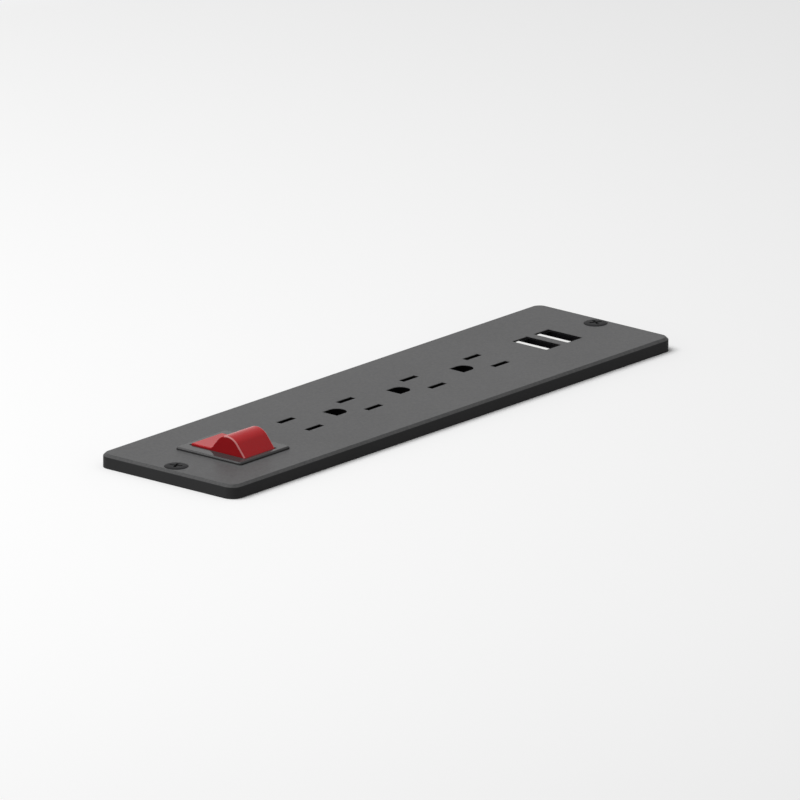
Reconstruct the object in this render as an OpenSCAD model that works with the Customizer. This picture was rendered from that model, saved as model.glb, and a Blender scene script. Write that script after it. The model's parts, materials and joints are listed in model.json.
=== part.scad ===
// Recessed power strip: a flange plate that lies on a flat top, with a rocker switch,
// four blade outlets, two USB ports and a wiring tub below the flange.
// X runs along the strip, Y to the back, Z up; the origin is the middle of the flange's underside.

/* [Layout along the strip] */
// Left end of the plate to the middle of the switch
switch_from_end = 33; // [31:0.5:40]
// Middle of the switch to the first pair of blade slots
switch_to_outlet = 37.4; // [35:0.1:45]
// Spacing of the first outlet, which has no ground hole, and the second
first_pitch = 31.3; // [31:0.1:45]
// Spacing of the other outlets
outlet_pitch = 33.6; // [32:0.1:45]
// Number of outlets
outlet_count = 4; // [2:1:6]
// Last pair of blade slots to the first USB port
outlet_to_usb = 27.1; // [26:0.1:35]
// Spacing of the USB ports
usb_pitch = 11.4; // [10.8:0.1:15]
// Second USB port to the right end of the plate
usb_to_end = 25.5; // [23.5:0.1:30]

/* [Faceplate] */
// Width of the faceplate
plate_w = 61; // [59:0.5:80]
// Thickness of the faceplate at its flange
plate_t = 5; // [4.5:0.1:6]
// Corner radius of the faceplate
plate_r = 4; // [3:0.5:8]
// Chamfer round the top edge
plate_chamfer = 1; // [0.4:0.1:1.6]
// Flange beyond the rear housing at each end
end_overhang = 13; // [12:0.5:13.5]
// Flange beyond the rear housing at each side
side_overhang = 6.5; // [5:0.5:7]
// Depth of the pocket under the plate that locates the rear housing
pocket_d = 2; // [1:0.1:2.2]

/* [Outlets] */
// Spacing of the two blades
blade_gap = 12.7; // [12.6:0.1:12.8]
// Length of a blade slot
slot_l = 8; // [7:0.1:9]
// Width of a blade slot
slot_w = 2.2; // [1.8:0.1:2.6]
// Blade slots to the ground hole
ground_offset = 11.9; // [11.5:0.1:12.3]
// Diameter of the ground hole
ground_d = 6.6; // [5.4:0.1:7]
// Flat of the ground hole from its middle
ground_flat = 3.9; // [3.3:0.1:4.3]

/* [Rear housing] */
// Depth of the rear housing below the flange
body_depth = 36; // [35:0.5:50]
// Corner radius of the rear housing
body_r = 4; // [2.5:0.5:6]
// Wall of the rear housing
wall = 2.2; // [1.8:0.1:2.4]
// Floor of the rear housing
floor_t = 2.2; // [1.8:0.1:3]
// Diameter of the cord inlet
inlet_d = 9.2; // [7:0.1:10]
// Collar of the cord inlet outside the end wall
inlet_collar = 3; // [1:0.5:6]

/* [Switch] */
// Middle of the switch in front of the strip's middle line
switch_front = 1.8; // [0:0.1:2]
// Length of the switch bezel across the strip
bezel_l = 29.3; // [29:0.1:34]
// Width of the switch bezel along the strip
bezel_w = 26.2; // [24.4:0.1:26.6]
// Height of the switch bezel above the plate
bezel_h = 1; // [0.6:0.1:1.4]
// Width of the rocker
rocker_w = 16; // [15:0.1:16.2]
// Radius of the crest of the rocker's raised half
crest_r = 5.8; // [5.4:0.1:6]
// Slope of the flanks of the raised half in degrees
flank_slope = 51; // [50:1:53]
// Middle of the raised half in front of the pivot
dome_y = 4.2; // [4:0.1:4.3]
// Wall of the rocker
rocker_wall = 1.8; // [1.5:0.1:2]
// Full throw of the rocker in degrees
rocker_throw = 20; // [16:1:20]
// Full swing of the contact levers in degrees
lever_swing = 16; // [12:1:16]

/* [USB ports] */
// Middle of a USB port to the right of the middle of its window
usb_shift = 0.6; // [0.4:0.1:0.7]
// Height of the white bar beside a USB port
usb_bar_h = 2.3; // [1.5:0.1:2.6]
// Length of a USB opening
usb_open_l = 12.5; // [12.3:0.1:12.6]
// Width of a USB opening
usb_open_w = 5.12; // [5:0.01:5.2]
// Sheet thickness of a USB shell
usb_sheet = 0.3; // [0.2:0.05:0.4]
// Length of the window in the plate
window_l = 15.4; // [15.2:0.1:15.8]
// Width of the window in the plate
window_w = 7.85; // [7.7:0.05:8.2]
// Thickness of the tongue
tongue_t = 1.84; // [1.7:0.02:1.9]
// Width of the tongue
tongue_l = 11.1; // [10.8:0.1:11.6]

/* [Fasteners] */
// Head diameter of the mounting screws
mount_head_d = 8.4; // [7.6:0.1:8.8]
// Shank diameter of the mounting screws
mount_shank_d = 4; // [3.5:0.1:4.2]
// Middle of a mounting screw to the end of the plate
mount_from_end = 5.4; // [5.3:0.1:5.8]
// Length of the mounting screws below the flange
mount_reach = 16; // [12:1:20]
// Thread diameter of the housing screws
screw_d = 2.9; // [2.5:0.1:3.1]

/* [Hidden] */
$fn = 64;

eps = 0.5;
fit = 0.25;
slip = 0.1;

// Faceplate and rear housing
plate_l = switch_from_end + switch_to_outlet + first_pitch + (outlet_count - 2) * outlet_pitch
  + outlet_to_usb + usb_pitch + usb_to_end;
body_l = plate_l - 2 * end_overhang;
body_w = plate_w - 2 * side_overhang;
body_floor = floor_t - body_depth;
inlet_rise = 9;
inlet_z = inlet_rise - body_depth;
inlet_rim = 2;
thread_gap = 0.05;
pilot_r = screw_d / 2 + thread_gap;
boss_r = 3.2;
boss_gap_x = 0.4;
boss_gap_y = 0.3;
boss_x = body_l / 2 - wall - boss_r - boss_gap_x;
boss_y = body_w / 2 - wall - boss_r - boss_gap_y;
pad_h = 3;
pad_r = boss_r + 0.2;
counterbore_r = 3.1;
seat_d = 1.2;
screw_gap = 0.3;
screw_head_r = 2.75;
screw_head_h = 1;
screw_recess_l = 3;
screw_recess_w = 0.7;
screw_recess_d = 0.6;
housing_screw_l = 13;
housing_pilot = 12;
carrier_screw_l = 8;
carrier_pilot = 8.5;

// Mounting screws
mount_x = plate_l / 2 - mount_from_end;
mount_head_r = mount_head_d / 2;
mount_r = mount_shank_d / 2;
mount_gap = 0.3;
mount_hole_r = mount_r + mount_gap;
mount_neck_r = mount_r - 0.5;
mount_cone_h = mount_head_r - mount_neck_r;
mount_rise = 0.35;
mount_crown = 0.8;
mount_plain = 6;
mount_tip = 4;
mount_tip_r = 0.2;
mount_core_r = mount_r - 0.4;
mount_pitch = 1.4;
mount_ridge = 0.5;
mount_recess_l = 4.6;
mount_recess_w = 1;
mount_recess_d = 1.8;

// Outlets
switch_x = switch_from_end - plate_l / 2;
switch_y = -switch_front;
first_x = switch_x + switch_to_outlet;
last_x = first_x + first_pitch + (outlet_count - 2) * outlet_pitch;
usb_x = last_x + outlet_to_usb;
blade_y = blade_gap / 2;

// Bus bars and carrier
bar_before = 14.1;
bar_after = 8.6;
bar_tail = 1.5;
bar_x0 = first_x - bar_before;
bar_x1 = last_x + bar_after;
bar_z = -15.2;
bar_t = 1;
bar_w = 5;
ground_bar_w = 3.6;
ground_before = 8;
ground_short = 4;
ground_x0 = first_x - ground_before;
leaf_t = 0.7;
leaf_l = 7.6;
leaf_top = -0.5;
leaf_pinch = -3.5;
leaf_kink = -12;
blade_pinch = 0.6;
blade_mouth = bar_w / 2 - 0.2;
pin_pinch = 2.25;
pin_foot = pin_pinch + 0.3;
pin_mouth = pin_pinch + 0.8;
carrier_edge = 7;
carrier_w = blade_gap + 2 * carrier_edge;
carrier_top = -14;
carrier_h = 8;
carrier_leg = 7;
carrier_screw_x = outlet_pitch;

// Switch
lip = 1;
cut_l = bezel_l - 2 * lip;
cut_w = bezel_w - 2 * lip;
shell_gap = 0.2;
shell_l = cut_l - 2 * shell_gap;
shell_w = cut_w - 2 * shell_gap;
latch_w = 8;
latch_l = 5;
latch_out = 0.9;
latch_lip = 0.55;
latch_gap = 0.05;
bezel_top = plate_t + bezel_h;
pivot_d = 2.1;
pivot_z = bezel_top - pivot_d;
crest_h = 6.2;
crest_z = bezel_top + crest_h - crest_r;
foot_half = crest_r * sin(flank_slope)
  + (crest_z - bezel_top + crest_r * cos(flank_slope)) / tan(flank_slope);
flat_rise = 1.65;
flat_z = plate_t + flat_rise;
rocker_skin = 0.05;
rocker_r = norm([dome_y + foot_half, bezel_top - pivot_z]) + rocker_skin;
rocker_gap = 0.35;
opening_l = 2 * (rocker_r + rocker_gap);
rocker_side_gap = 0.3;
opening_w = rocker_w + 2 * rocker_side_gap;
skirt = 3.5;
web_t = 1.8;
trunnion_r = 1.6;
trunnion_l = 1.8;
trunnion_root = 1;
trunnion_gap = 0.08;
post_r = 2.6;
post_bottom = -6;
bore_r = 1.9;
bore_top = 2;
bore_cap = 1.2;
plunger_r = 1.8;
plunger_top = -2;
plunger_drop = 10;
pole_x = 4.3;
rest_tilt = rocker_throw / 2;
lever_tilt = lever_swing / 2;
lever_drop = 13.9;
lever_z = pivot_z - lever_drop;
lever_w = 5;
lever_t = 1.2;
lever_under = 0.2;
knuckle_r = 1.2;
cradle_gap = 0.06;
cradle_h = 3.5;
cradle_l = 3.6;
cradle_lip = 0.4;
chamber_drop = 6.9;
chamber_top = pivot_z - chamber_drop;
chamber_floor = lever_z - cradle_h;
chamber_wall = 1.8;
chamber_half = shell_l / 2 - chamber_wall;
pole_wall = 1.4;
shell_floor = 2;
shell_bottom = chamber_floor - shell_floor;
tab_l = 6.3;
tab_t = 0.8;
tab_gap = 0.02;
tab_reach = 9;
tab_bottom = shell_bottom - tab_reach;
throw_in = 5.3;
throw_y = shell_l / 2 - throw_in;
lever_short = 0.5;
lever_half = throw_y - lever_short;
contact_pad_l = 4;
contact_pad_w = 4;
contact_pad_t = 1.4;
contact_pad_in = 3;
contact_r = 1.4;
contact_in = 1.2;
contact_gap = 0.32;
contact_h = lever_z + lever_under - lever_half * sin(lever_tilt) - contact_gap - chamber_floor;
trough_l = 6.8;
trough_h = 3;
trough_gap = 0.3;

// Tip path seen from a lever: the trough keeps the same gap to the plunger through the throw
tip_rest = [-plunger_drop * sin(rest_tilt), pivot_z - plunger_drop * cos(rest_tilt) - lever_z];
tip_seen = [
  tip_rest[0] * cos(lever_tilt) + tip_rest[1] * sin(lever_tilt),
  tip_rest[1] * cos(lever_tilt) - tip_rest[0] * sin(lever_tilt)
];
tip_mid = pivot_z - plunger_drop - lever_z;
tip_rise = tip_seen[1] - tip_mid;
tip_path_r = (tip_seen[0] * tip_seen[0] + tip_rise * tip_rise) / (2 * tip_rise);
trough_r = tip_path_r + plunger_r + trough_gap;

// USB ports and charger
usb_shell_l = usb_open_l + 2 * usb_sheet;
usb_shell_w = usb_open_w + 2 * usb_sheet;
usb_sink = 0.3;
usb_top = plate_t - usb_sink;
board_t = 1.6;
board_top = -13;
board_under = board_top - board_t;
board_before = 14.5;
board_after = 8.1;
board_x0 = usb_x - board_before;
board_x1 = usb_x + usb_pitch + board_after;
board_mid = (board_x0 + board_x1) / 2;
board_gap = 1.1;
board_w = 2 * (boss_y - boss_r - board_gap);
board_post_x = 3;
board_post_in = 2.5;
board_post_y = board_w / 2 - board_post_in;
board_post_r = 2.5;
board_pilot = 8;
board_screw_r = 1.05;
board_screw_l = 6;
board_head_r = 2.1;
board_head_h = 1.4;
board_recess_l = 2.4;
board_recess_w = 0.6;
usb_block_h = 7;
tongue_sink = 1.1;
tongue_top = usb_top - tongue_sink;
tongue_side = 0.72;
tongue_x = usb_open_w / 2 - tongue_side - tongue_t;
strip_w = 1;
strip_t = 0.2;
strip_sink = 0.9;
strip_inner = 1;
strip_outer = 3.5;
surround_flange = 1.2;
surround_rim_x = 1.2;
surround_rim_y = 1;
surround_sink = 0.1;
usb_bar_sink = 0.05;
usb_bar_top = plate_t - usb_bar_sink;
usb_bar_bottom = usb_bar_top - usb_bar_h;
usb_bar_x0 = slip - window_w / 2;
usb_bar_x1 = usb_shift - usb_open_w / 2;
usb_bar_back = 1.1;
usb_bar_y1 = window_l / 2 - usb_bar_back;
core_l = 14;
core_h = 12;
core_w = 6;
core_limb = 2.2;
core_centre = 4.2;
core_gap = 0.5;
core_bottom = board_under - core_h - core_gap;
winding_w = 11;
winding_r = 1.2;
winding_gap = 0.1;
winding_pin_r = 0.4;
winding_pin_x = 1;
winding_pin_y = 4.6;
chip_y = (winding_pin_y + winding_pin_r + board_w / 2) / 2;
rectifier_l = 8;
rectifier_w = 5.6;
rectifier_h = 2;
rectifier_gap = 0.5;
rectifier_leg = 0.8;
rectifier_leg_x = 2.6;
rectifier_leg_y = 2;
chip_l = 6;
chip_w = 4;
chip_h = 1.6;
chip_gap = 0.2;
chip_leg_pitch = 1.27;
chip_leg_w = 0.4;
chip_leg_l = 1.2;
chip_leg_y = 2.4;
chip_leg_t = 0.4;
capacitor_r = 4;
capacitor_h = 11;
capacitor_x = 12.5;

// Leads
lead_r = 1.2;
charger_lead_r = 0.8;
lead_sides = 10;
lead_steps = 6;
lead_z = bar_z + bar_t / 2;
lead_end = 2;
lead_dip = 3;
lead_bend = 5;
lead_clear = 2.6;
lead_low = body_floor + lead_r + lead_clear;
lead_drop = tab_bottom - lead_low;
lead_swing = 3;
lead_turn = 6;
lead_cross = 13;
lead_pass = 8;
lead_side = 0.5;
charger_gap = 0.5;
charger_in_x = board_x0 + board_post_x + board_head_r + charger_lead_r + charger_gap;
charger_end = 1.6;
charger_bend = 4;
charger_low = 3.6;
charger_up = 1.4;

function unit(v) = v / norm(v);
function limit(i, last) = max(0, min(i, last));
function heading(p, i) = unit(p[limit(i + 1, len(p) - 1)] - p[limit(i - 1, len(p) - 1)]);
function spline(a, b, c, d, t) =
  0.5 * (2 * b + (c - a) * t + (2 * a - 5 * b + 4 * c - d) * t * t + (3 * b - a - 3 * c + d) * t * t * t);
function smooth(p, n) = [
  p[0],
  for (i = [1 : len(p) - 3]) for (k = [0 : n - 1]) spline(p[i - 1], p[i], p[i + 1], p[i + 2], k / n),
  p[len(p) - 2],
  p[len(p) - 1]
];
function ring(c, t, side, r, n) =
  let (a = unit(cross(t, side)), b = cross(t, a))
  [for (k = [0 : n - 1]) c + r * (cos(360 * k / n) * a + sin(360 * k / n) * b)];
function outlet_x(i) = first_x + (i > 0 ? first_pitch + (i - 1) * outlet_pitch : 0);
function ground_x(i) = outlet_x(i) - ground_offset;

live_route = [
  [switch_x - pole_x, switch_y + throw_y, tab_bottom],
  [switch_x - pole_x, switch_y + throw_y, tab_bottom - 0.36 * lead_drop],
  [switch_x - pole_x + lead_swing, switch_y + throw_y - 2 * lead_side, tab_bottom - 0.9 * lead_drop],
  [switch_x + lead_turn, switch_y + throw_y - lead_bend, lead_low],
  [switch_x + lead_cross, -lead_end, tab_bottom - 0.36 * lead_drop],
  [bar_x0 - lead_bend, -blade_y, lead_z - lead_dip],
  [bar_x0 - lead_end, -blade_y, lead_z],
  [bar_x0, -blade_y, lead_z]
];
neutral_route = [
  [switch_x + pole_x, switch_y + throw_y, tab_bottom],
  [switch_x + pole_x, switch_y + throw_y, tab_bottom - 0.27 * lead_drop],
  [switch_x + pole_x + lead_swing, switch_y + throw_y + lead_side, tab_bottom - 0.64 * lead_drop],
  [switch_x + pole_x + lead_pass, switch_y + throw_y, tab_bottom - 0.18 * lead_drop],
  [bar_x0 - lead_bend, blade_y + lead_side, lead_z - lead_dip],
  [bar_x0 - lead_end, blade_y, lead_z],
  [bar_x0, blade_y, lead_z]
];

// Rectangle with rounded corners, centred
module rounded(l, w, r) {
  square([l - 2 * r, w], center = true);
  square([l, w - 2 * r], center = true);
  for (x = [-1, 1], y = [-1, 1]) {
    translate([x * (l / 2 - r), y * (w / 2 - r)]) circle(r);
  }
}

// Bar of a profile drawn in Y and Z, centred along X
module along_x(l) {
  rotate([90, 0, 90]) linear_extrude(l, center = true) children();
}

// Bar of a profile drawn in X and Z, centred along Y
module along_y(l) {
  rotate([90, 0, 0]) linear_extrude(l, center = true) children();
}

// Box given by its lower corner and its upper corner
module box(a, b) {
  translate(a) cube(b - a);
}

// Round tube along a list of points
module tube(p, r, n, side) {
  last = len(p) - 1;
  rings = [for (i = [0 : last]) each ring(p[i], heading(p, i), side, r, n)];
  walls = [
    for (i = [0 : last - 1]) for (k = [0 : n - 1])
      let (a = i * n + k, b = i * n + (k + 1) % n)
      each [[a, a + n, b + n], [a, b + n, b]]
  ];
  start = [for (k = [0 : n - 1]) k];
  end = [for (k = [n - 1 : -1 : 0]) last * n + k];
  polyhedron(points = rings, faces = concat(walls, [start, end]));
}

// Plate with rounded corners and a chamfered top edge
module chamfered_slab() {
  c = plate_chamfer;
  edge = plate_t - c;
  linear_extrude(edge) rounded(plate_l, plate_w, plate_r);
  along_x(plate_l - 2 * plate_r) polygon([
    [-plate_w / 2, edge], [plate_w / 2, edge], [plate_w / 2 - c, plate_t], [c - plate_w / 2, plate_t]
  ]);
  along_y(plate_w - 2 * plate_r) polygon([
    [-plate_l / 2, edge], [plate_l / 2, edge], [plate_l / 2 - c, plate_t], [c - plate_l / 2, plate_t]
  ]);
  for (x = [-1, 1], y = [-1, 1]) {
    translate([x * (plate_l / 2 - plate_r), y * (plate_w / 2 - plate_r), edge])
      cylinder(h = c, r1 = plate_r, r2 = plate_r - c);
  }
}

// Places a shape at each of the six housing pillars
module at_bosses() {
  for (x = [-1, 0, 1], y = [-1, 1]) {
    translate([x * boss_x, y * boss_y, 0]) children();
  }
}

// Places a shape at each of the four board posts
module at_board_posts() {
  for (x = [board_x0 + board_post_x, board_x1 - board_post_x], y = [-board_post_y, board_post_y]) {
    translate([x, y, 0]) children();
  }
}

// Places a shape at the middle of each USB window
module at_usb() {
  for (i = [0, 1]) {
    translate([usb_x + i * usb_pitch, 0, 0]) children();
  }
}

// Places a shape at the middle of each USB port
module at_port() {
  at_usb() translate([usb_shift, 0, 0]) children();
}

// Turns a shape about the rocker's pivot from its middle position to its resting tilt
module at_rocker_tilt() {
  translate([switch_x, switch_y, pivot_z]) rotate([-rest_tilt, 0, 0]) children();
}

module faceplate() {
  pillar_bottom = body_floor + pad_h;
  color([0.25, 0.25, 0.26]) difference() {
    union() {
      difference() {
        chamfered_slab();
        translate([0, 0, -eps]) linear_extrude(pocket_d + eps)
          rounded(body_l + 2 * fit, body_w + 2 * fit, body_r + fit);
      }
      at_bosses() translate([0, 0, pillar_bottom])
        cylinder(h = pocket_d - pillar_bottom + eps, r = boss_r);
      at_board_posts() translate([0, 0, board_top])
        cylinder(h = pocket_d - board_top + eps, r = board_post_r);
    }
    for (i = [0 : outlet_count - 1], side = [-1, 1]) {
      translate([outlet_x(i), side * blade_y, plate_t / 2])
        cube([slot_l, slot_w, plate_t + 2 * eps], center = true);
    }
    for (i = [1 : outlet_count - 1]) {
      translate([ground_x(i), 0, -eps]) linear_extrude(plate_t + 2 * eps) intersection() {
        union() {
          circle(d = ground_d);
          translate([-ground_d / 2, 0]) square(ground_d, center = true);
        }
        translate([-ground_flat, -ground_d]) square(2 * ground_d);
      }
    }
    translate([switch_x, switch_y, plate_t / 2]) cube([cut_w, cut_l, plate_t + 2 * eps], center = true);
    at_usb() translate([0, 0, plate_t / 2]) cube([window_w, window_l, plate_t + 2 * eps], center = true);
    for (x = [-mount_x, mount_x]) {
      translate([x, 0, -eps]) cylinder(h = plate_t + 2 * eps, r = mount_hole_r);
      translate([x, 0, plate_t - mount_cone_h]) cylinder(
        h = mount_cone_h + eps, r1 = mount_neck_r + slip, r2 = mount_head_r + slip + eps
      );
    }
    at_bosses() translate([0, 0, pillar_bottom - eps]) cylinder(h = housing_pilot + eps, r = pilot_r);
    at_board_posts() translate([0, 0, board_top - eps])
      cylinder(h = board_pilot + eps, r = board_screw_r + thread_gap);
  }
}

module rear_housing() {
  color([0.13, 0.13, 0.14]) difference() {
    union() {
      difference() {
        translate([0, 0, -body_depth]) linear_extrude(body_depth + pocket_d)
          rounded(body_l, body_w, body_r);
        translate([0, 0, body_floor]) linear_extrude(body_depth + pocket_d)
          rounded(body_l - 2 * wall, body_w - 2 * wall, body_r - wall);
      }
      at_bosses() translate([0, 0, -body_depth]) cylinder(h = floor_t + pad_h, r = pad_r);
      translate([-body_l / 2, 0, inlet_z]) rotate([0, -90, 0])
        translate([0, 0, -wall / 2]) cylinder(h = inlet_collar + wall / 2, d = inlet_d + 2 * inlet_rim);
    }
    translate([-body_l / 2, 0, inlet_z]) rotate([0, -90, 0])
      translate([0, 0, -wall - eps]) cylinder(h = wall + inlet_collar + 2 * eps, d = inlet_d);
    at_bosses() screw_seat();
    for (x = [-carrier_screw_x, carrier_screw_x]) {
      translate([x, 0, 0]) screw_seat();
    }
  }
}

// Counterbore and clearance hole of a screw that comes up through the floor
module screw_seat() {
  translate([0, 0, -body_depth - eps])
    cylinder(h = floor_t + pad_h + 2 * eps, r = screw_d / 2 + screw_gap);
  translate([0, 0, -body_depth - eps]) cylinder(h = seat_d + eps, r = counterbore_r);
}

module mounting_screws() {
  color([0.1, 0.1, 0.11]) for (x = [-mount_x, mount_x]) {
    translate([x, 0, 0]) difference() {
      union() {
        translate([0, 0, plate_t - mount_cone_h])
          cylinder(h = mount_cone_h, r1 = mount_neck_r, r2 = mount_head_r);
        translate([0, 0, plate_t])
          cylinder(h = mount_rise, r1 = mount_head_r, r2 = mount_head_r - mount_crown);
        cylinder(h = plate_t - mount_cone_h, r = mount_neck_r);
        translate([0, 0, -mount_plain]) cylinder(h = mount_plain, r = mount_r);
        translate([0, 0, mount_tip - mount_reach])
          cylinder(h = mount_reach - mount_tip - mount_plain, r = mount_core_r);
        translate([0, 0, -mount_reach]) cylinder(h = mount_tip, r1 = mount_tip_r, r2 = mount_core_r);
        for (z = [mount_plain + 2 * mount_ridge : mount_pitch : mount_reach - mount_tip]) {
          translate([0, 0, -z - mount_ridge])
            cylinder(h = mount_ridge, r1 = mount_core_r - slip, r2 = mount_r - thread_gap);
          translate([0, 0, -z])
            cylinder(h = mount_ridge, r1 = mount_r - thread_gap, r2 = mount_core_r - slip);
        }
      }
      for (a = [0, 90]) {
        rotate([0, 0, a]) translate([0, 0, plate_t])
          cube([mount_recess_l, mount_recess_w, 2 * mount_recess_d], center = true);
      }
    }
  }
}

// Pan-head screw that comes up through the floor
module floor_screw(grip) {
  seat = seat_d - body_depth;
  difference() {
    union() {
      translate([0, 0, seat - screw_head_h]) cylinder(h = screw_head_h, r = screw_head_r);
      translate([0, 0, seat]) cylinder(h = grip, d = screw_d);
    }
    for (a = [0, 90]) {
      rotate([0, 0, a]) translate([0, 0, seat - screw_head_h])
        cube([screw_recess_l, screw_recess_w, 2 * screw_recess_d], center = true);
    }
  }
}

module housing_screws() {
  color([0.7, 0.7, 0.72]) at_bosses() floor_screw(housing_screw_l);
}

module carrier_screws() {
  color([0.7, 0.7, 0.72]) for (x = [-carrier_screw_x, carrier_screw_x]) {
    translate([x, 0, 0]) floor_screw(carrier_screw_l);
  }
}

module contact_carrier() {
  x0 = bar_x0 + bar_tail;
  x1 = bar_x1 - bar_tail;
  under = carrier_top - carrier_h;
  color([0.85, 0.82, 0.74]) difference() {
    union() {
      box([x0, -carrier_w / 2, under], [x1, carrier_w / 2, carrier_top]);
      for (x = [x0 + carrier_leg / 2, -carrier_screw_x, 0, carrier_screw_x, x1 - carrier_leg / 2]) {
        box(
          [x - carrier_leg / 2, -carrier_w / 2, body_floor],
          [x + carrier_leg / 2, carrier_w / 2, under + eps]
        );
      }
    }
    for (y = [-blade_y, blade_y]) {
      box([x0 - eps, y - bar_w / 2, bar_z], [x1 + eps, y + bar_w / 2, carrier_top + eps]);
    }
    box([ground_x0, -ground_bar_w / 2, bar_z], [x1 + eps, ground_bar_w / 2, carrier_top + eps]);
    for (x = [-carrier_screw_x, carrier_screw_x]) {
      translate([x, 0, body_floor - eps]) cylinder(h = carrier_pilot + eps, r = pilot_r);
    }
    at_bosses() translate([0, 0, body_floor - eps])
      cylinder(h = carrier_top - body_floor + 2 * eps, r = pad_r + fit);
  }
}

// One of the two leaves that grip a blade, drawn across the bar
module blade_leaf() {
  polygon([
    [bar_w / 2, bar_z], [bar_w / 2, leaf_kink], [blade_pinch + leaf_t, leaf_pinch],
    [blade_mouth, leaf_top], [blade_mouth - leaf_t, leaf_top], [blade_pinch, leaf_pinch],
    [bar_w / 2 - leaf_t, leaf_kink], [bar_w / 2 - leaf_t, bar_z]
  ]);
}

// One of the two leaves that grip a ground pin, drawn along the bar
module pin_leaf() {
  polygon([
    [pin_foot + leaf_t, bar_z], [pin_foot + leaf_t, leaf_kink], [pin_pinch + leaf_t, leaf_pinch],
    [pin_mouth + leaf_t, leaf_top], [pin_mouth, leaf_top], [pin_pinch, leaf_pinch],
    [pin_foot, leaf_kink], [pin_foot, bar_z]
  ]);
}

module blade_bar(side) {
  color([0.8, 0.63, 0.28]) translate([0, side * blade_y, 0]) {
    box([bar_x0, -bar_w / 2, bar_z], [bar_x1, bar_w / 2, bar_z + bar_t]);
    for (i = [0 : outlet_count - 1]) {
      translate([outlet_x(i), 0, 0]) along_x(leaf_l) {
        blade_leaf();
        mirror([1, 0]) blade_leaf();
      }
    }
  }
}

module live_bus_bar() {
  blade_bar(-1);
}

module neutral_bus_bar() {
  blade_bar(1);
}

module ground_bus_bar() {
  color([0.8, 0.63, 0.28]) {
    box([ground_x0, -ground_bar_w / 2, bar_z], [bar_x1 - ground_short, ground_bar_w / 2, bar_z + bar_t]);
    for (i = [1 : outlet_count - 1]) {
      translate([ground_x(i), 0, 0]) along_y(ground_bar_w) {
        pin_leaf();
        mirror([1, 0]) pin_leaf();
      }
    }
  }
}

module switch_housing() {
  latch_top = pocket_d - latch_gap;
  color([0.2, 0.2, 0.21]) translate([switch_x, switch_y, 0]) difference() {
    union() {
      box([-bezel_w / 2, -bezel_l / 2, plate_t], [bezel_w / 2, bezel_l / 2, bezel_top]);
      box([-shell_w / 2, -shell_l / 2, shell_bottom], [shell_w / 2, shell_l / 2, plate_t + eps]);
      for (side = [0, 1]) {
        mirror([side, 0, 0]) along_y(latch_w) polygon([
          [shell_w / 2 - eps, latch_top], [shell_w / 2 + latch_out, latch_top],
          [shell_w / 2 + latch_out, latch_top - latch_lip], [shell_w / 2, latch_top - latch_l],
          [shell_w / 2 - eps, latch_top - latch_l]
        ]);
      }
    }
    box([-opening_w / 2, -opening_l / 2, chamber_top], [opening_w / 2, opening_l / 2, bezel_top + eps]);
    for (side = [0, 1]) {
      mirror([side, 0, 0]) box(
        [pole_wall / 2, -chamber_half, chamber_floor], [opening_w / 2, chamber_half, chamber_top + eps]
      );
    }
    translate([0, 0, pivot_z]) along_x(opening_w + 2 * trunnion_l) circle(trunnion_r + trunnion_gap);
    for (x = [-pole_x, pole_x], y = [0, throw_y]) {
      translate([x, y, shell_bottom])
        cube([tab_t + 2 * tab_gap, tab_l + 2 * tab_gap, 3 * shell_floor], center = true);
    }
    translate([-switch_x, -switch_y, shell_bottom - eps]) at_bosses()
      cylinder(h = pocket_d - shell_bottom + eps, r = boss_r + fit);
  }
}

// Outline of the rocker in Y and Z, drawn a given distance inside its outer face
module rocker_profile(inset) {
  flank_y = (crest_r - inset) * sin(flank_slope);
  flank_top = (crest_r - inset) * cos(flank_slope);
  flank_bottom = flank_top - rocker_r;
  flank_run = rocker_r / tan(flank_slope);
  intersection() {
    union() {
      translate([-dome_y, crest_z]) {
        circle(crest_r - inset);
        polygon([
          [-flank_y, flank_top], [-flank_y - flank_run, flank_bottom],
          [flank_y + flank_run, flank_bottom], [flank_y, flank_top]
        ]);
      }
      translate([-dome_y, pivot_z - rocker_r])
        square([rocker_r + dome_y, rocker_r + flat_z - pivot_z - inset]);
    }
    translate([0, pivot_z]) circle(rocker_r - inset);
    translate([0, pivot_z]) rotate(-rest_tilt) translate([-2 * rocker_r, -skirt - inset])
      square([4 * rocker_r, 4 * rocker_r]);
  }
}

module rocker() {
  color([0.8, 0.05, 0.06]) {
    difference() {
      union() {
        difference() {
          translate([switch_x, switch_y, 0]) along_x(rocker_w) rocker_profile(0);
          translate([switch_x, switch_y, 0]) along_x(rocker_w - 2 * rocker_wall) rocker_profile(rocker_wall);
        }
        intersection() {
          at_rocker_tilt() {
            for (x = [-pole_x, pole_x]) {
              translate([x, 0, post_bottom]) cylinder(h = bore_top - post_bottom + bore_cap, r = post_r);
            }
            box([-rocker_w / 2, -web_t / 2, -skirt], [rocker_w / 2, web_t / 2, rocker_r]);
          }
          translate([switch_x, switch_y, 0]) along_x(rocker_w) union() {
            rocker_profile(0);
            translate([-3 * post_r, pivot_z + 2 * post_bottom]) square([6 * post_r, -2 * post_bottom]);
          }
        }
      }
      at_rocker_tilt() for (x = [-pole_x, pole_x]) {
        translate([x, 0, post_bottom - eps]) cylinder(h = bore_top - post_bottom + eps, r = bore_r);
      }
    }
    translate([switch_x, switch_y, pivot_z]) for (side = [0, 1]) {
      mirror([side, 0, 0]) translate([rocker_w / 2 - trunnion_root, 0, 0]) rotate([0, 90, 0])
        cylinder(h = trunnion_root + trunnion_l, r = trunnion_r);
    }
  }
}

module plungers() {
  color([0.92, 0.9, 0.85]) at_rocker_tilt() for (x = [-pole_x, pole_x]) {
    translate([x, 0, -plunger_drop]) {
      sphere(plunger_r);
      cylinder(h = plunger_drop + plunger_top, r = plunger_r);
    }
  }
}

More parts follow.
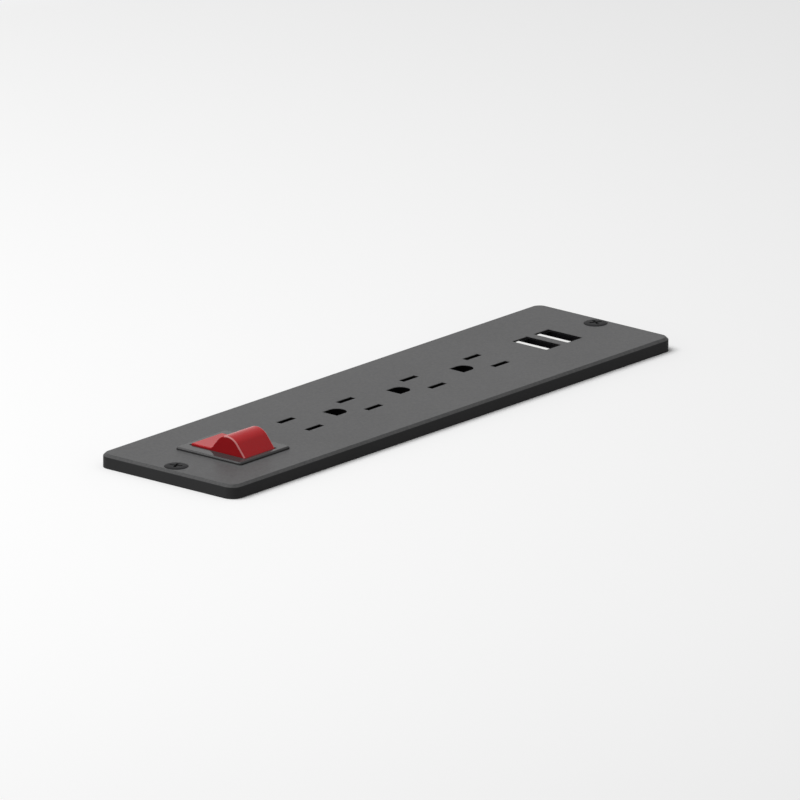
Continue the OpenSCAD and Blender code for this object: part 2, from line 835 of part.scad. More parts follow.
module plunger_springs() {
  wire_r = 0.2;
  turns = 4;
  rise = bore_top - plunger_top - 2 * wire_r - 0.1;
  coil_r = bore_r - wire_r - 0.15;
  steps = 16;
  coil = [
    for (i = [0 : turns * steps])
      let (a = 360 * i / steps)
      [coil_r * cos(a), coil_r * sin(a), wire_r + 0.05 + rise * i / (turns * steps)]
  ];
  echo(least_gap_between_turns = rise / turns - 2 * wire_r);
  color([0.75, 0.75, 0.77]) at_rocker_tilt() for (x = [-pole_x, pole_x]) {
    translate([x, 0, plunger_top]) tube(coil, wire_r, 6, [0, 0, 1]);
  }
}

module contact_lever(x) {
  color([0.78, 0.45, 0.28])
  translate([switch_x + x, switch_y, lever_z]) rotate([lever_tilt, 0, 0]) along_x(lever_w) {
    translate([-lever_half, lever_under]) square([2 * lever_half, lever_t]);
    circle(knuckle_r);
    difference() {
      translate([-trough_l / 2, 0]) square([trough_l, trough_h]);
      translate([0, tip_mid + tip_path_r]) circle(trough_r);
      translate([-trough_l, -eps]) square([2 * trough_l, lever_under + eps]);
    }
  }
}

module left_contact_lever() {
  contact_lever(-pole_x);
}

module right_contact_lever() {
  contact_lever(pole_x);
}

// Blade tab that passes through the floor of the switch
module terminal_tab(y) {
  box([-tab_t / 2, y - tab_l / 2, tab_bottom], [tab_t / 2, y + tab_l / 2, chamber_floor + eps]);
}

module common_terminals() {
  color([0.8, 0.63, 0.28]) for (x = [-pole_x, pole_x]) {
    translate([switch_x + x, switch_y, 0]) {
      terminal_tab(0);
      along_x(lever_w) difference() {
        translate([-cradle_l / 2, chamber_floor]) square([cradle_l, cradle_h - cradle_lip]);
        translate([0, lever_z]) circle(knuckle_r + cradle_gap);
      }
    }
  }
}

module switched_terminals() {
  color([0.8, 0.63, 0.28]) for (x = [-pole_x, pole_x]) {
    translate([switch_x + x, switch_y, 0]) {
      terminal_tab(throw_y);
      along_x(contact_pad_w) translate([throw_y - contact_pad_in, chamber_floor])
        square([contact_pad_l, contact_pad_t]);
      translate([0, throw_y - contact_in, chamber_floor]) cylinder(h = contact_h, r = contact_r);
    }
  }
}

module usb_surround() {
  mid = usb_x + usb_pitch / 2;
  half = usb_pitch / 2 + window_w / 2 + surround_rim_x;
  color([0.04, 0.04, 0.04]) difference() {
    union() {
      box(
        [mid - half, -window_l / 2 - surround_rim_y, pocket_d - surround_flange],
        [mid + half, window_l / 2 + surround_rim_y, pocket_d]
      );
      at_usb() box(
        [slip - window_w / 2, slip - window_l / 2, pocket_d - eps],
        [window_w / 2 - slip, window_l / 2 - slip, plate_t - surround_sink]
      );
    }
    at_port() box(
      [-usb_shell_w / 2 - slip, -usb_shell_l / 2 - slip, pocket_d - surround_flange - eps],
      [usb_shell_w / 2 + slip, usb_shell_l / 2 + slip, plate_t + eps]
    );
    at_usb() box(
      [-window_w / 2, -window_l / 2, usb_bar_bottom], [usb_bar_x1 + slip, usb_bar_y1 + slip, plate_t + eps]
    );
    at_board_posts() translate([0, 0, pocket_d - surround_flange - eps])
      cylinder(h = surround_flange + 2 * eps, r = board_post_r + slip);
  }
}

module usb_shells() {
  color([0.12, 0.12, 0.13]) at_port() difference() {
    box([-usb_shell_w / 2, -usb_shell_l / 2, board_top], [usb_shell_w / 2, usb_shell_l / 2, usb_top]);
    box(
      [-usb_open_w / 2, -usb_open_l / 2, board_top - eps],
      [usb_open_w / 2, usb_open_l / 2, usb_top + eps]
    );
    box(
      [-usb_shell_w / 2 - eps, -usb_shell_l / 2 - eps, usb_bar_bottom - slip],
      [slip - usb_open_w / 2, usb_shell_l / 2 + eps, usb_top + eps]
    );
  }
}

module usb_tongues() {
  color([0.95, 0.95, 0.95]) at_port() {
    box(
      [-usb_open_w / 2, -usb_open_l / 2, board_top],
      [usb_open_w / 2, usb_open_l / 2, board_top + usb_block_h]
    );
    box(
      [-tongue_x - tongue_t, -tongue_l / 2, board_top + usb_block_h - eps],
      [-tongue_x, tongue_l / 2, tongue_top]
    );
  }
}

module usb_bars() {
  color([0.95, 0.95, 0.95]) at_usb() box(
    [usb_bar_x0, slip - window_l / 2, usb_bar_bottom], [usb_bar_x1, usb_bar_y1, usb_bar_top]
  );
}

module usb_contacts() {
  color([0.85, 0.7, 0.3]) at_port() for (y = [-strip_outer, -strip_inner, strip_inner, strip_outer]) {
    box(
      [-tongue_x, y - strip_w / 2, board_top + usb_block_h],
      [strip_t - tongue_x, y + strip_w / 2, tongue_top - strip_sink]
    );
  }
}

module charger_board() {
  color([0.1, 0.35, 0.2]) difference() {
    box([board_x0, -board_w / 2, board_under], [board_x1, board_w / 2, board_top]);
    at_board_posts() translate([0, 0, board_under - eps])
      cylinder(h = board_t + 2 * eps, r = board_screw_r + fit);
  }
}

module board_screws() {
  color([0.7, 0.7, 0.72]) at_board_posts() difference() {
    union() {
      translate([0, 0, board_under - board_head_h]) cylinder(h = board_head_h, r = board_head_r);
      translate([0, 0, board_under]) cylinder(h = board_screw_l, r = board_screw_r);
    }
    for (a = [0, 90]) {
      rotate([0, 0, a]) translate([0, 0, board_under - board_head_h])
        cube([board_recess_l, board_recess_w, board_head_h], center = true);
    }
  }
}

module transformer_core() {
  window_w_core = (core_l - 2 * core_limb - core_centre) / 2;
  color([0.16, 0.16, 0.17])
  translate([board_mid, 0, core_bottom]) along_y(core_w) difference() {
    translate([-core_l / 2, 0]) square([core_l, core_h]);
    for (side = [0, 1]) {
      mirror([side, 0]) translate([core_centre / 2, core_limb])
        square([window_w_core, core_h - 2 * core_limb]);
    }
  }
}

module transformer_winding() {
  window_h = core_h - 2 * core_limb;
  half_x = core_l / 2 - core_limb - winding_gap;
  color([0.85, 0.7, 0.2]) translate([board_mid, 0, core_bottom + core_limb]) {
    linear_extrude(window_h) difference() {
      rounded(2 * half_x, winding_w, winding_r);
      square([core_centre, core_w], center = true);
    }
    for (x = [winding_pin_x - half_x, half_x - winding_pin_x], y = [-winding_pin_y, winding_pin_y]) {
      translate([x, y, window_h]) cylinder(h = core_limb + core_gap, r = winding_pin_r);
    }
  }
}

module smoothing_capacitors() {
  color([0.08, 0.1, 0.2]) for (x = [-capacitor_x, capacitor_x]) {
    translate([board_mid + x, 0, board_under - capacitor_h]) cylinder(h = capacitor_h, r = capacitor_r);
  }
}

module rectifier() {
  color([0.06, 0.06, 0.07]) translate([board_mid, chip_y, board_under - rectifier_gap]) {
    translate([0, 0, -rectifier_h / 2]) cube([rectifier_l, rectifier_w, rectifier_h], center = true);
    for (x = [-rectifier_leg_x, rectifier_leg_x], y = [-rectifier_leg_y, rectifier_leg_y]) {
      translate([x, y, 0]) cube([rectifier_leg, rectifier_leg, 2 * rectifier_gap], center = true);
    }
  }
}

module controller_chip() {
  color([0.06, 0.06, 0.07]) translate([board_mid, -chip_y, board_under]) {
    translate([0, 0, -chip_gap - chip_h / 2]) cube([chip_l, chip_w, chip_h], center = true);
    for (i = [-1.5 : 1 : 1.5], y = [-chip_leg_y, chip_leg_y]) {
      translate([i * chip_leg_pitch, y, -chip_leg_t / 2])
        cube([chip_leg_w, chip_leg_l, chip_leg_t], center = true);
    }
  }
}

module live_lead() {
  color([0.06, 0.06, 0.06]) tube(smooth(live_route, lead_steps), lead_r, lead_sides, [0.35, 0.9, 0.25]);
}

module neutral_lead() {
  color([0.9, 0.9, 0.88]) tube(smooth(neutral_route, lead_steps), lead_r, lead_sides, [0.35, 0.9, 0.25]);
}

// Short lead from the end of a bus bar to the underside of the charger board
module charger_lead(side) {
  y = side * blade_y;
  route = [
    [bar_x1, y, lead_z],
    [bar_x1 + charger_end, y, lead_z],
    [bar_x1 + charger_bend, y, lead_z - lead_dip],
    [charger_in_x - charger_end, y, lead_z - charger_low],
    [charger_in_x, y, board_under - charger_up],
    [charger_in_x, y, board_under]
  ];
  tube(smooth(route, lead_steps), charger_lead_r, lead_sides, [0, 1, 0]);
}

module charger_live_lead() {
  color([0.06, 0.06, 0.06]) charger_lead(-1);
}

module charger_neutral_lead() {
  color([0.9, 0.9, 0.88]) charger_lead(1);
}

faceplate();
rear_housing();
mounting_screws();
housing_screws();
carrier_screws();
contact_carrier();
live_bus_bar();
neutral_bus_bar();
ground_bus_bar();
switch_housing();
rocker();
plungers();
plunger_springs();
left_contact_lever();
right_contact_lever();
common_terminals();
switched_terminals();
usb_surround();
usb_shells();
usb_tongues();
usb_bars();
usb_contacts();
charger_board();
board_screws();
transformer_core();
transformer_winding();
smoothing_capacitors();
rectifier();
controller_chip();
live_lead();
neutral_lead();
charger_live_lead();
charger_neutral_lead();
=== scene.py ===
"""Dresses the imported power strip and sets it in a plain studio.

The frame gives every body and node in metres: X along the strip, Y to the back, Z up from the underside
of the plate. Sizes in this file are in millimetres, and each mesh is scaled to metres once it is shaped.
"""

import json
import logging
import math
from dataclasses import dataclass, field
from enum import Enum

import bmesh
import bpy
from mathutils import Matrix, Vector


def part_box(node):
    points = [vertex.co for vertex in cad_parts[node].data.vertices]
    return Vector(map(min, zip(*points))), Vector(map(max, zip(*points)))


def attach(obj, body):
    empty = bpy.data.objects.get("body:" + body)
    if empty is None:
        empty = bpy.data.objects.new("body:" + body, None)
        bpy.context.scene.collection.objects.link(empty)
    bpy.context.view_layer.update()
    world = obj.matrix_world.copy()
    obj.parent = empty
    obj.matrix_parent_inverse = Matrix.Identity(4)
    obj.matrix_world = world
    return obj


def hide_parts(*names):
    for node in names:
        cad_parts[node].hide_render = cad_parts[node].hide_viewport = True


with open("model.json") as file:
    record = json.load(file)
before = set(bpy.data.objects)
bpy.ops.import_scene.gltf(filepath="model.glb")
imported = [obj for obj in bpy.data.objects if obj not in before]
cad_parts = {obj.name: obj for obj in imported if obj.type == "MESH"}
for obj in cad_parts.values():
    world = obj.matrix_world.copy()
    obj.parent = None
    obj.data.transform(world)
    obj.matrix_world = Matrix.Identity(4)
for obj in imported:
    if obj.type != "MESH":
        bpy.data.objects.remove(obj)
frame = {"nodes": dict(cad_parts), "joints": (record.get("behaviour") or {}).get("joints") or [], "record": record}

MM = 0.001
NEAR = 0.01
MERGE = 0.0005
FULL_TURN = 2 * math.pi
SIDES = (-1, 1)
UP, DOWN = (0.0, 0.0, 1.0), (0.0, 0.0, -1.0)
Pair = tuple[float, float]
Triple = tuple[float, float, float]
Vert, Edge, Face = bmesh.types.BMVert, bmesh.types.BMEdge, bmesh.types.BMFace
Socket = bpy.types.NodeSocket
Inputs = dict[str | int, Socket | float | tuple[float, ...]]
log = logging.getLogger("power_strip")


class Graph:
    """The nodes of a material or of the world."""

    def __init__(self, owner: bpy.types.Material | bpy.types.World) -> None:
        """Starts with the nodes that a new owner has."""
        owner.use_nodes = True
        self.tree = owner.node_tree

    def set(self, node: bpy.types.Node, inputs: Inputs) -> None:
        """Sets a node's inputs.

        Args:
            node: The node.
            inputs: The fixed value that each input has, or the output that it follows.
        """
        for name, value in inputs.items():
            if isinstance(value, Socket):
                self.tree.links.new(value, node.inputs[name])
            else:
                node.inputs[name].default_value = value

    def add(self, kind: str, output: str, inputs: Inputs | None = None, **settings: str) -> Socket:
        """Adds a node.

        Args:
            kind: Its type, without the prefix that all types have.
            output: The output that is wanted.
            inputs: Its inputs, as in set.
            settings: Its other settings.

        Returns:
            The output.
        """
        node = self.tree.nodes.new(f"ShaderNode{kind}")
        for name, value in settings.items():
            setattr(node, name, value)
        self.set(node, inputs or {})
        return node.outputs[output]


class Grain(Enum):
    """Relief that a finish carries."""

    MOULDED = "moulded"
    POLISHED = "polished"
    BRUSHED = "brushed"
    WOVEN = "woven"
    WRAPPED = "wrapped"


@dataclass(frozen=True)
class Finish:
    """A procedural material with its colour drift, its relief and its change of gloss."""

    name: str
    colour: Triple
    roughness: float
    grain: Grain = Grain.MOULDED
    metallic: float = 0.0
    ior: float = 1.5
    coat: float = 0.0
    cell_mm: float = 0.45
    relief_mm: float = 0.012
    drift: float = 0.08
    speckle: float = 0.45
    coat_roughness: float = 0.08
    cloud_mm: float = 38.0
    cloud_octaves: float = 3.0
    grain_octaves: float = 4.0
    colour_span: Pair = (0.28, 0.72)
    gloss_span: Pair = (0.2, 0.8)
    gloss_change: float = 0.12
    brush_stretch: float = 0.06
    bands_per_cell: float = 0.3
    band_waver: float = 0.4

    def material(self) -> bpy.types.Material:
        """Makes the material once and gives it back on later calls.

        Returns:
            The material of this finish.
        """
        label = f"{self.name}_finish"
        if label in bpy.data.materials:
            return bpy.data.materials[label]
        made = bpy.data.materials.new(label)
        graph = Graph(made)
        place = graph.add("TexCoord", "Object")
        relief = self._relief(graph, place)
        gloss = graph.add("MapRange", "Result", {
            "Value": relief, "From Min": self.gloss_span[0], "From Max": self.gloss_span[1],
            "To Min": self.roughness * (1 - self.gloss_change),
            "To Max": min(1.0, self.roughness * (1 + self.gloss_change)),
        })
        bump = graph.add(
            "Bump", "Normal", {"Height": relief, "Strength": 1.0, "Distance": self.relief_mm * MM}
        )
        graph.set(graph.tree.nodes["Principled BSDF"], {
            "Base Color": self._tint(graph, place, relief), "Roughness": gloss, "Normal": bump,
            "Metallic": self.metallic, "IOR": self.ior, "Coat Weight": self.coat,
            "Coat Roughness": self.coat_roughness,
        })
        return made

    def _noise(self, graph: Graph, place: Socket, cell_mm: float, octaves: float) -> Socket:
        """Adds a noise whose cells have some size."""
        scale = 1 / (cell_mm * MM)
        return graph.add("TexNoise", "Fac", {"Vector": place, "Scale": scale, "Detail": octaves})

    def _relief(self, graph: Graph, place: Socket) -> Socket:
        """Adds the height pattern of the grain.

        Args:
            graph: The material's nodes.
            place: The coordinates that it reads.

        Returns:
            The height, from 0 to 1.
        """
        if self.grain in (Grain.WRAPPED, Grain.WOVEN):
            scale = self.bands_per_cell / (self.cell_mm * MM)
            bands = {"Vector": place, "Scale": scale, "Distortion": self.band_waver, "Detail": 1.0}
            axes = "Z" if self.grain is Grain.WRAPPED else "XY"
            waves = [graph.add("TexWave", "Fac", bands, bands_direction=axis) for axis in axes]
            if len(waves) == 1:
                return waves[0]
            return graph.add("Math", "Value", dict(enumerate(waves)), operation="MULTIPLY")
        if self.grain is Grain.BRUSHED:
            stretch = (self.brush_stretch, 1.0, 1.0)
            place = graph.add("Mapping", "Vector", {"Vector": place, "Scale": stretch})
        octaves = 1.0 if self.grain is Grain.POLISHED else self.grain_octaves
        return self._noise(graph, place, self.cell_mm, octaves)

    def _tint(self, graph: Graph, place: Socket, relief: Socket) -> Socket:
        """Lets the colour drift a little across the piece and follow its grain.

        Args:
            graph: The material's nodes.
            place: The coordinates that the drift reads.
            relief: The height pattern.

        Returns:
            The colour.
        """
        clouds = self._noise(graph, place, self.cloud_mm, self.cloud_octaves)
        both = graph.add("Mix", "Result", {"Factor": self.speckle, "A": clouds, "B": relief})
        tint = graph.add("ValToRGB", "Color", {"Fac": both})
        for stop, way, position in zip(tint.node.color_ramp.elements, SIDES, self.colour_span):
            stop.position = position
            stop.color = (*(min(1.0, part * (1 + way * self.drift)) for part in self.colour), 1.0)
        return tint


# The top and its chamfers get a lighter grey than the sides of the same plastic: a painted sheen for the bright
# surround mirrored at a low angle.
FACE = Finish(
    "satin_face_painted_sheen", (0.1035, 0.1035, 0.1045), 0.38, ior=1.1, cell_mm=0.9, relief_mm=0.028, drift=0.17,
    speckle=0.8,
)
SIDE = Finish("matt_side", (0.066, 0.066, 0.067), 0.5, ior=1.08, cell_mm=0.5, relief_mm=0.01)
# Near black for the walls inside the plate's holes, which are the plate's own plastic: painted shade for the dark
# inside of the holes.
SLOT_PAINTED_SHADE = Finish("slot_painted_shade", (0.003, 0.003, 0.003), 0.7, ior=1.06, cell_mm=0.4, relief_mm=0.01)
HOUSING = Finish("housing_black", (0.03, 0.03, 0.032), 0.5, ior=1.4, cell_mm=0.6, relief_mm=0.02)
BEZEL = Finish("bezel_grey", (0.0475, 0.0475, 0.0485), 0.14, ior=1.22, cell_mm=0.5, relief_mm=0.002)
RED = Finish(
    "rocker_red", (0.44, 0.014, 0.018), 0.2, Grain.POLISHED, ior=1.2, cell_mm=3.0, relief_mm=0.01,
    drift=0.05,
)
# A paler red on the rounded upper front rim of the hump: a painted highlight.
RED_PAINTED_HIGHLIGHT = Finish(
    "rocker_painted_highlight", (0.61, 0.2, 0.2), 0.22, Grain.POLISHED, ior=1.4, cell_mm=3.0, relief_mm=0.004,
    drift=0.05,
)
OXIDE = Finish(
    "black_oxide", (0.0237, 0.0237, 0.0247), 0.5, ior=1.1, cell_mm=0.35, relief_mm=0.02, drift=0.2
)
# Near black for black plastic parts, and also painted shade on the inside of the switch's well.
BLACK_AND_PAINTED_SHADE = Finish("black_moulding_and_painted_shade", (0.003, 0.003, 0.003), 0.6, ior=1.03, cell_mm=0.4, relief_mm=0.01)
WHITE = Finish("white_moulding", (0.86, 0.86, 0.85), 0.4, cell_mm=0.5, relief_mm=0.006, drift=0.02)
# The USB shells are near black: painted shade for the dark inside of the ports.
SHELL_PAINTED_SHADE = Finish(
    "shell_painted_shade", (0.006, 0.006, 0.007), 0.45, Grain.BRUSHED, 0.2, 1.15, cell_mm=0.3, relief_mm=0.004
)
STEEL = Finish(
    "bright_plate", (0.62, 0.62, 0.63), 0.28, Grain.BRUSHED, 1.0, cell_mm=0.2, relief_mm=0.004
)
BRASS = Finish(
    "strip_brass", (0.72, 0.5, 0.2), 0.3, Grain.BRUSHED, 1.0, cell_mm=0.25, relief_mm=0.005
)
COPPER = Finish(
    "lever_copper", (0.72, 0.36, 0.2), 0.32, Grain.BRUSHED, 1.0, cell_mm=0.25, relief_mm=0.005
)
CREAM = Finish("carrier_cream", (0.7, 0.66, 0.56), 0.45, cell_mm=0.6, relief_mm=0.015)
NYLON = Finish("natural_nylon", (0.78, 0.76, 0.7), 0.38, Grain.POLISHED, cell_mm=1.5, relief_mm=0.01)
GREEN = Finish(
    "solder_mask", (0.03, 0.16, 0.07), 0.32, Grain.WOVEN, cell_mm=0.8, relief_mm=0.01, coat=0.3
)
FERRITE = Finish("ferrite", (0.05, 0.05, 0.055), 0.62, cell_mm=0.3, relief_mm=0.03, drift=0.15)
TAPE = Finish("winding_tape", (0.75, 0.52, 0.06), 0.35, Grain.WRAPPED, cell_mm=1.6, relief_mm=0.03)
SLEEVE = Finish(
    "capacitor_sleeve", (0.01, 0.015, 0.06), 0.2, Grain.POLISHED, cell_mm=2.0, relief_mm=0.01, coat=0.4
)
BLACK_WIRE = Finish("black_insulation", (0.015, 0.015, 0.015), 0.45, cell_mm=0.5, relief_mm=0.01)
WHITE_WIRE = Finish("white_insulation", (0.8, 0.8, 0.78), 0.45, cell_mm=0.5, relief_mm=0.01, drift=0.03)


class Shape:
    """A mesh in the making, in millimetres."""

    def __init__(self) -> None:
        """Starts an empty mesh."""
        self.bm = bmesh.new()

    def rectangle(self, size: Pair, centre: Triple) -> Face:
        """Adds a flat rectangle that faces up.

        Args:
            size: Its size along X and Y.
            centre: Its middle.

        Returns:
            The face.
        """
        made = bmesh.ops.create_grid(self.bm, x_segments=1, y_segments=1, size=0.5)["verts"]
        bmesh.ops.scale(self.bm, vec=(*size, 1.0), verts=made)
        bmesh.ops.translate(self.bm, vec=centre, verts=made)
        return made[0].link_faces[0]

    def rounded(self, size: Pair, radius: float, steps: int, centre: Triple) -> Face:
        """Adds a flat rectangle with round corners, each of some radius and steps."""
        face = self.rectangle(size, centre)
        return self.round_corners(face, list(face.verts), radius, steps)

    def round_corners(self, face: Face, corners: list[Vert], radius: float, steps: int) -> Face:
        """Rounds some corners of a flat face off.

        Args:
            face: The face.
            corners: The corners.
            radius: Their radius.
            steps: The steps of each corner.

        Returns:
            The face with its new outline.
        """
        others = set(self.bm.faces) - {face}
        bmesh.ops.bevel(
            self.bm, geom=corners, offset=radius, offset_type="OFFSET", segments=steps,
            profile=0.5, affect="VERTICES", material=-1, clamp_overlap=False,
        )
        return (set(self.bm.faces) - others).pop()

    def flat(self, axis: int, place: float) -> Face:
        """Finds the largest face whose middle is at some place along an axis, 0 to 2 for X to Z."""
        level = [f for f in self.bm.faces if abs(f.calc_center_median()[axis] - place) < NEAR]
        return max(level, key=lambda face: face.calc_area())

    def open_face(self, face: Face) -> list[Edge]:
        """Takes a face away.

        Args:
            face: The face.

        Returns:
            Its edges, which stay.
        """
        edges = list(face.edges)
        bmesh.ops.delete(self.bm, geom=[face], context="FACES_ONLY")
        return edges

    def _shift(self, made: list[Vert | Edge | Face], step: Triple) -> None:
        """Moves the points of what was just drawn out."""
        points = [part for part in made if isinstance(part, Vert)]
        bmesh.ops.translate(self.bm, vec=step, verts=points)

    def extend(self, face: Face, step: Triple, keep: bool = False) -> Face:
        """Pulls a face out of the surface round it, with walls behind it.

        Args:
            face: The face.
            step: How far it goes.
            keep: Whether a copy of it stays behind.

        Returns:
            The face in its new place.
        """
        made = bmesh.ops.extrude_face_region(self.bm, geom=[face], use_keep_orig=keep)["geom"]
        self._shift(made, step)
        if face.is_valid and not keep:
            self.open_face(face)
        return next(part for part in made if isinstance(part, Face))

    def skirt(self, edges: list[Edge], step: Triple) -> list[Edge]:
        """Draws a wall from a loop of edges.

        Args:
            edges: The loop.
            step: How far the wall goes.

        Returns:
            The loop at the wall's far end.
        """
        made = bmesh.ops.extrude_edge_only(self.bm, edges=edges)["geom"]
        self._shift(made, step)
        return [part for part in made if isinstance(part, Edge)]

    def inset(self, face: Face, width: float, rise: float) -> list[Edge]:
        """Draws a face in from its outline, with a slope round it.

        Args:
            face: The face.
            width: How far it is drawn in.
            rise: How far it rises.

        Returns:
            The edges round the slope's outside.
        """
        corners = list(face.verts)
        bmesh.ops.inset_individual(
            self.bm, faces=[face], thickness=width, depth=rise, use_even_offset=True
        )
        around = dict.fromkeys(e for v in corners for e in v.link_edges)
        return [e for e in around if all(v in corners for v in e.verts)]

    def sink(self, face: Face, rim: float, depth: float) -> tuple[list[Edge], Face]:
        """Turns a face into a well with a sloped rim, and gives the rim's edges and the floor."""
        edges = self.inset(face, rim, -rim)
        return edges, self.extend(face, (0.0, 0.0, rim - depth))

    def fill(self, edges: list[Edge], normal: Triple = UP) -> None:
        """Fills a flat outline that faces some way, and leaves the outlines inside it open."""
        bmesh.ops.triangle_fill(self.bm, use_beauty=True, use_dissolve=False, edges=edges, normal=normal)

    def soften(self, edges: list[Edge], width: float, steps: int = 2) -> list[Face]:
        """Rounds edges off.

        Args:
            edges: The edges.
            width: The width of the rounding.
            steps: Its steps.

        Returns:
            The faces of the rounding.
        """
        return bmesh.ops.bevel(
            self.bm, geom=edges, offset=width, offset_type="OFFSET", segments=steps, profile=0.5,
            affect="EDGES", material=-1, clamp_overlap=True, harden_normals=False,
        )["faces"]

    def turned(
        self, profile: list[Pair], centre: Triple, axis: Triple = UP, steps: int = 40
    ) -> tuple[list[Edge], list[Edge]]:
        """Turns a profile about an axis.

        Args:
            profile: Distances from the axis and along it.
            centre: A point on the axis.
            axis: The axis, along X or square to it and mostly upright.
            steps: The steps of the turn.

        Returns:
            The loops at the profile's first and last point.
        """
        along, middle = Vector(axis), Vector(centre)
        out = Vector((1.0, 0.0, 0.0)) if abs(along.z) > abs(along.x) else Vector((0.0, 1.0, 0.0))
        before = set(self.bm.verts)
        points = [self.bm.verts.new(middle + out * r + along * h) for r, h in profile]
        lines = [self.bm.edges.new(pair) for pair in zip(points, points[1:])]
        bmesh.ops.spin(
            self.bm, geom=points + lines, cent=middle, axis=along, dvec=(0.0, 0.0, 0.0),
            angle=FULL_TURN, steps=steps, use_merge=True, use_normal_flip=False, use_duplicate=False,
        )
        fresh = [v for v in self.bm.verts if v not in before]
        bmesh.ops.remove_doubles(self.bm, verts=fresh, dist=MERGE)
        fresh = [v for v in self.bm.verts if v not in before]
        loops: tuple[list[Edge], list[Edge]] = ([], [])
        for edge in {e for v in fresh for e in v.link_edges if e.is_boundary}:
            spot = edge.verts[0].co - middle
            height = spot.dot(along)
            radius = (spot - along * height).length
            near = [abs(radius - r) + abs(height - h) for r, h in (profile[0], profile[-1])]
            loops[near.index(min(near))].append(edge)
        return loops

    def block(self, low: Triple, high: Triple, width: float, steps: int = 2) -> None:
        """Adds a box with rounded edges.

        Args:
            low: Its lowest corner.
            high: Its highest corner.
            width: The width of the rounding.
            steps: Its steps.
        """
        made = bmesh.ops.create_cube(self.bm, size=1.0)["verts"]
        bmesh.ops.scale(self.bm, vec=[b - a for a, b in zip(low, high)], verts=made)
        bmesh.ops.translate(self.bm, vec=[(a + b) / 2 for a, b in zip(low, high)], verts=made)
        self.soften(list({e for v in made for e in v.link_edges}), width, steps)

    def bored_post(self, radius: float, bore: Pair, centre: Triple, height: float) -> None:
        """Adds a round post with a blind bore in its lower end.

        Args:
            radius: The post's radius.
            bore: The bore's radius and depth.
            centre: The middle of the post's lower end.
            height: The post's height.
        """
        mouth, foot, steps = 0.15, 0.3, 28
        bore_r, depth = bore
        self.turned(
            [
                (0.0, depth), (bore_r, depth), (bore_r, mouth), (bore_r + mouth, 0.0),
                (radius - foot, 0.0), (radius, foot), (radius, height), (0.0, height),
            ],
            centre, steps=steps,
        )

    def piece(self, name: str, finishes: list[Finish], sharp_deg: float = 32.0) -> bpy.types.Object:
        """Makes the mesh an object in metres.

        Args:
            name: The object's name.
            finishes: The finishes, in the order of the faces' numbers.
            sharp_deg: The least angle of an edge that stays sharp.

        Returns:
            The object.
        """
        bmesh.ops.recalc_face_normals(self.bm, faces=self.bm.faces)
        bmesh.ops.scale(self.bm, vec=(MM, MM, MM), verts=self.bm.verts)
        for face in self.bm.faces:
            face.smooth = True
        mesh = bpy.data.meshes.new(name)
        self.bm.to_mesh(mesh)
        self.bm.free()
        mesh.set_sharp_from_angle(angle=math.radians(sharp_deg))
        for finish in finishes:
            mesh.materials.append(finish.material())
        made = bpy.data.objects.new(name, mesh)
        bpy.context.scene.collection.objects.link(made)
        made.modifiers.new("even_normals", "WEIGHTED_NORMAL").keep_sharp = True
        return made


def seat(piece: bpy.types.Object, body: str, slot: str, *nodes: str) -> None:
    """Puts a piece on its body, in the place of its nodes.

    Args:
        piece: The new piece.
        body: The body that it moves with.
        slot: The record's material slot, which is not used.
        nodes: The nodes that it stands for.
    """
    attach(piece, body)
    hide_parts(*nodes)
    log.info("%s: %d faces, on %s", piece.name, len(piece.data.polygons), body)


@dataclass(frozen=True)
class Layout:
    """The main sizes and places of the strip in millimetres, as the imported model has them."""

    plate: Triple
    tub: Triple
    tub_top: float
    bezel: Triple
    pivot: Triple
    outlets_x: tuple[float, ...]
    ports_x: tuple[float, ...]
    screw_x: float
    ground_offset: float = 11.9
    port_shift: float = 0.6
    window: Pair = (7.85, 15.4)
    pillar_in: Pair = (5.8, 5.7)

    @classmethod
    def read(cls) -> "Layout":
        """Reads the sizes from the nodes' boxes and the places from the record.

        Returns:
            The layout.
        """
        mounts = {row["name"]: row for row in frame["record"]["mounts"]}
        pivot = next(row["pos_m"] for row in frame["joints"] if row["name"] == "rocker_tilt")
        plate_low, plate_high = (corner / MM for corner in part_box("faceplate"))
        tub_low, tub_high = (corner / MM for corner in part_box("rear_housing"))
        bezel_low, bezel_high = (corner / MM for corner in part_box("switch_housing"))

        def along(kind: str) -> tuple[float, ...]:
            """Gives the places along the strip of the mounts whose name starts alike."""
            return tuple(row["pos_m"][0] / MM for name, row in mounts.items() if name.startswith(kind))

        return cls(
            plate=(plate_high.x - plate_low.x, plate_high.y - plate_low.y, plate_high.z),
            tub=(2 * tub_high.x, 2 * tub_high.y, -tub_low.z),
            tub_top=tub_high.z,
            bezel=(bezel_high.x - bezel_low.x, bezel_high.y - bezel_low.y, bezel_high.z - plate_high.z),
            pivot=tuple(place / MM for place in pivot),
            outlets_x=along("outlet_"),
            ports_x=along("usb_port_"),
            screw_x=mounts["mounting_screws"]["dims"]["spacing_x_mm"] / 2,
        )

    def grounds_x(self) -> list[float]:
        """Gives the places of the ground holes, which the first outlet lacks."""
        return [x - self.ground_offset for x in self.outlets_x[1:]]

    def windows_x(self) -> list[float]:
        """Gives the middles of the USB windows."""
        return [x - self.port_shift for x in self.ports_x]

    def pillars(self) -> list[Pair]:
        """Gives the places of the six housing pillars."""
        far_x, far_y = (size / 2 - inside for size, inside in zip(self.tub, self.pillar_in))
        return [(x, y) for x in (-far_x, 0.0, far_x) for y in (-far_y, far_y)]


def grown(size: Pair, past: float) -> Pair:
    """Gives a width and length that reach past others on every side."""
    return size[0] + 2 * past, size[1] + 2 * past


@dataclass
class Part:
    """A piece of the strip in the making."""

    layout: Layout
    shape: Shape = field(default_factory=Shape, kw_only=True)


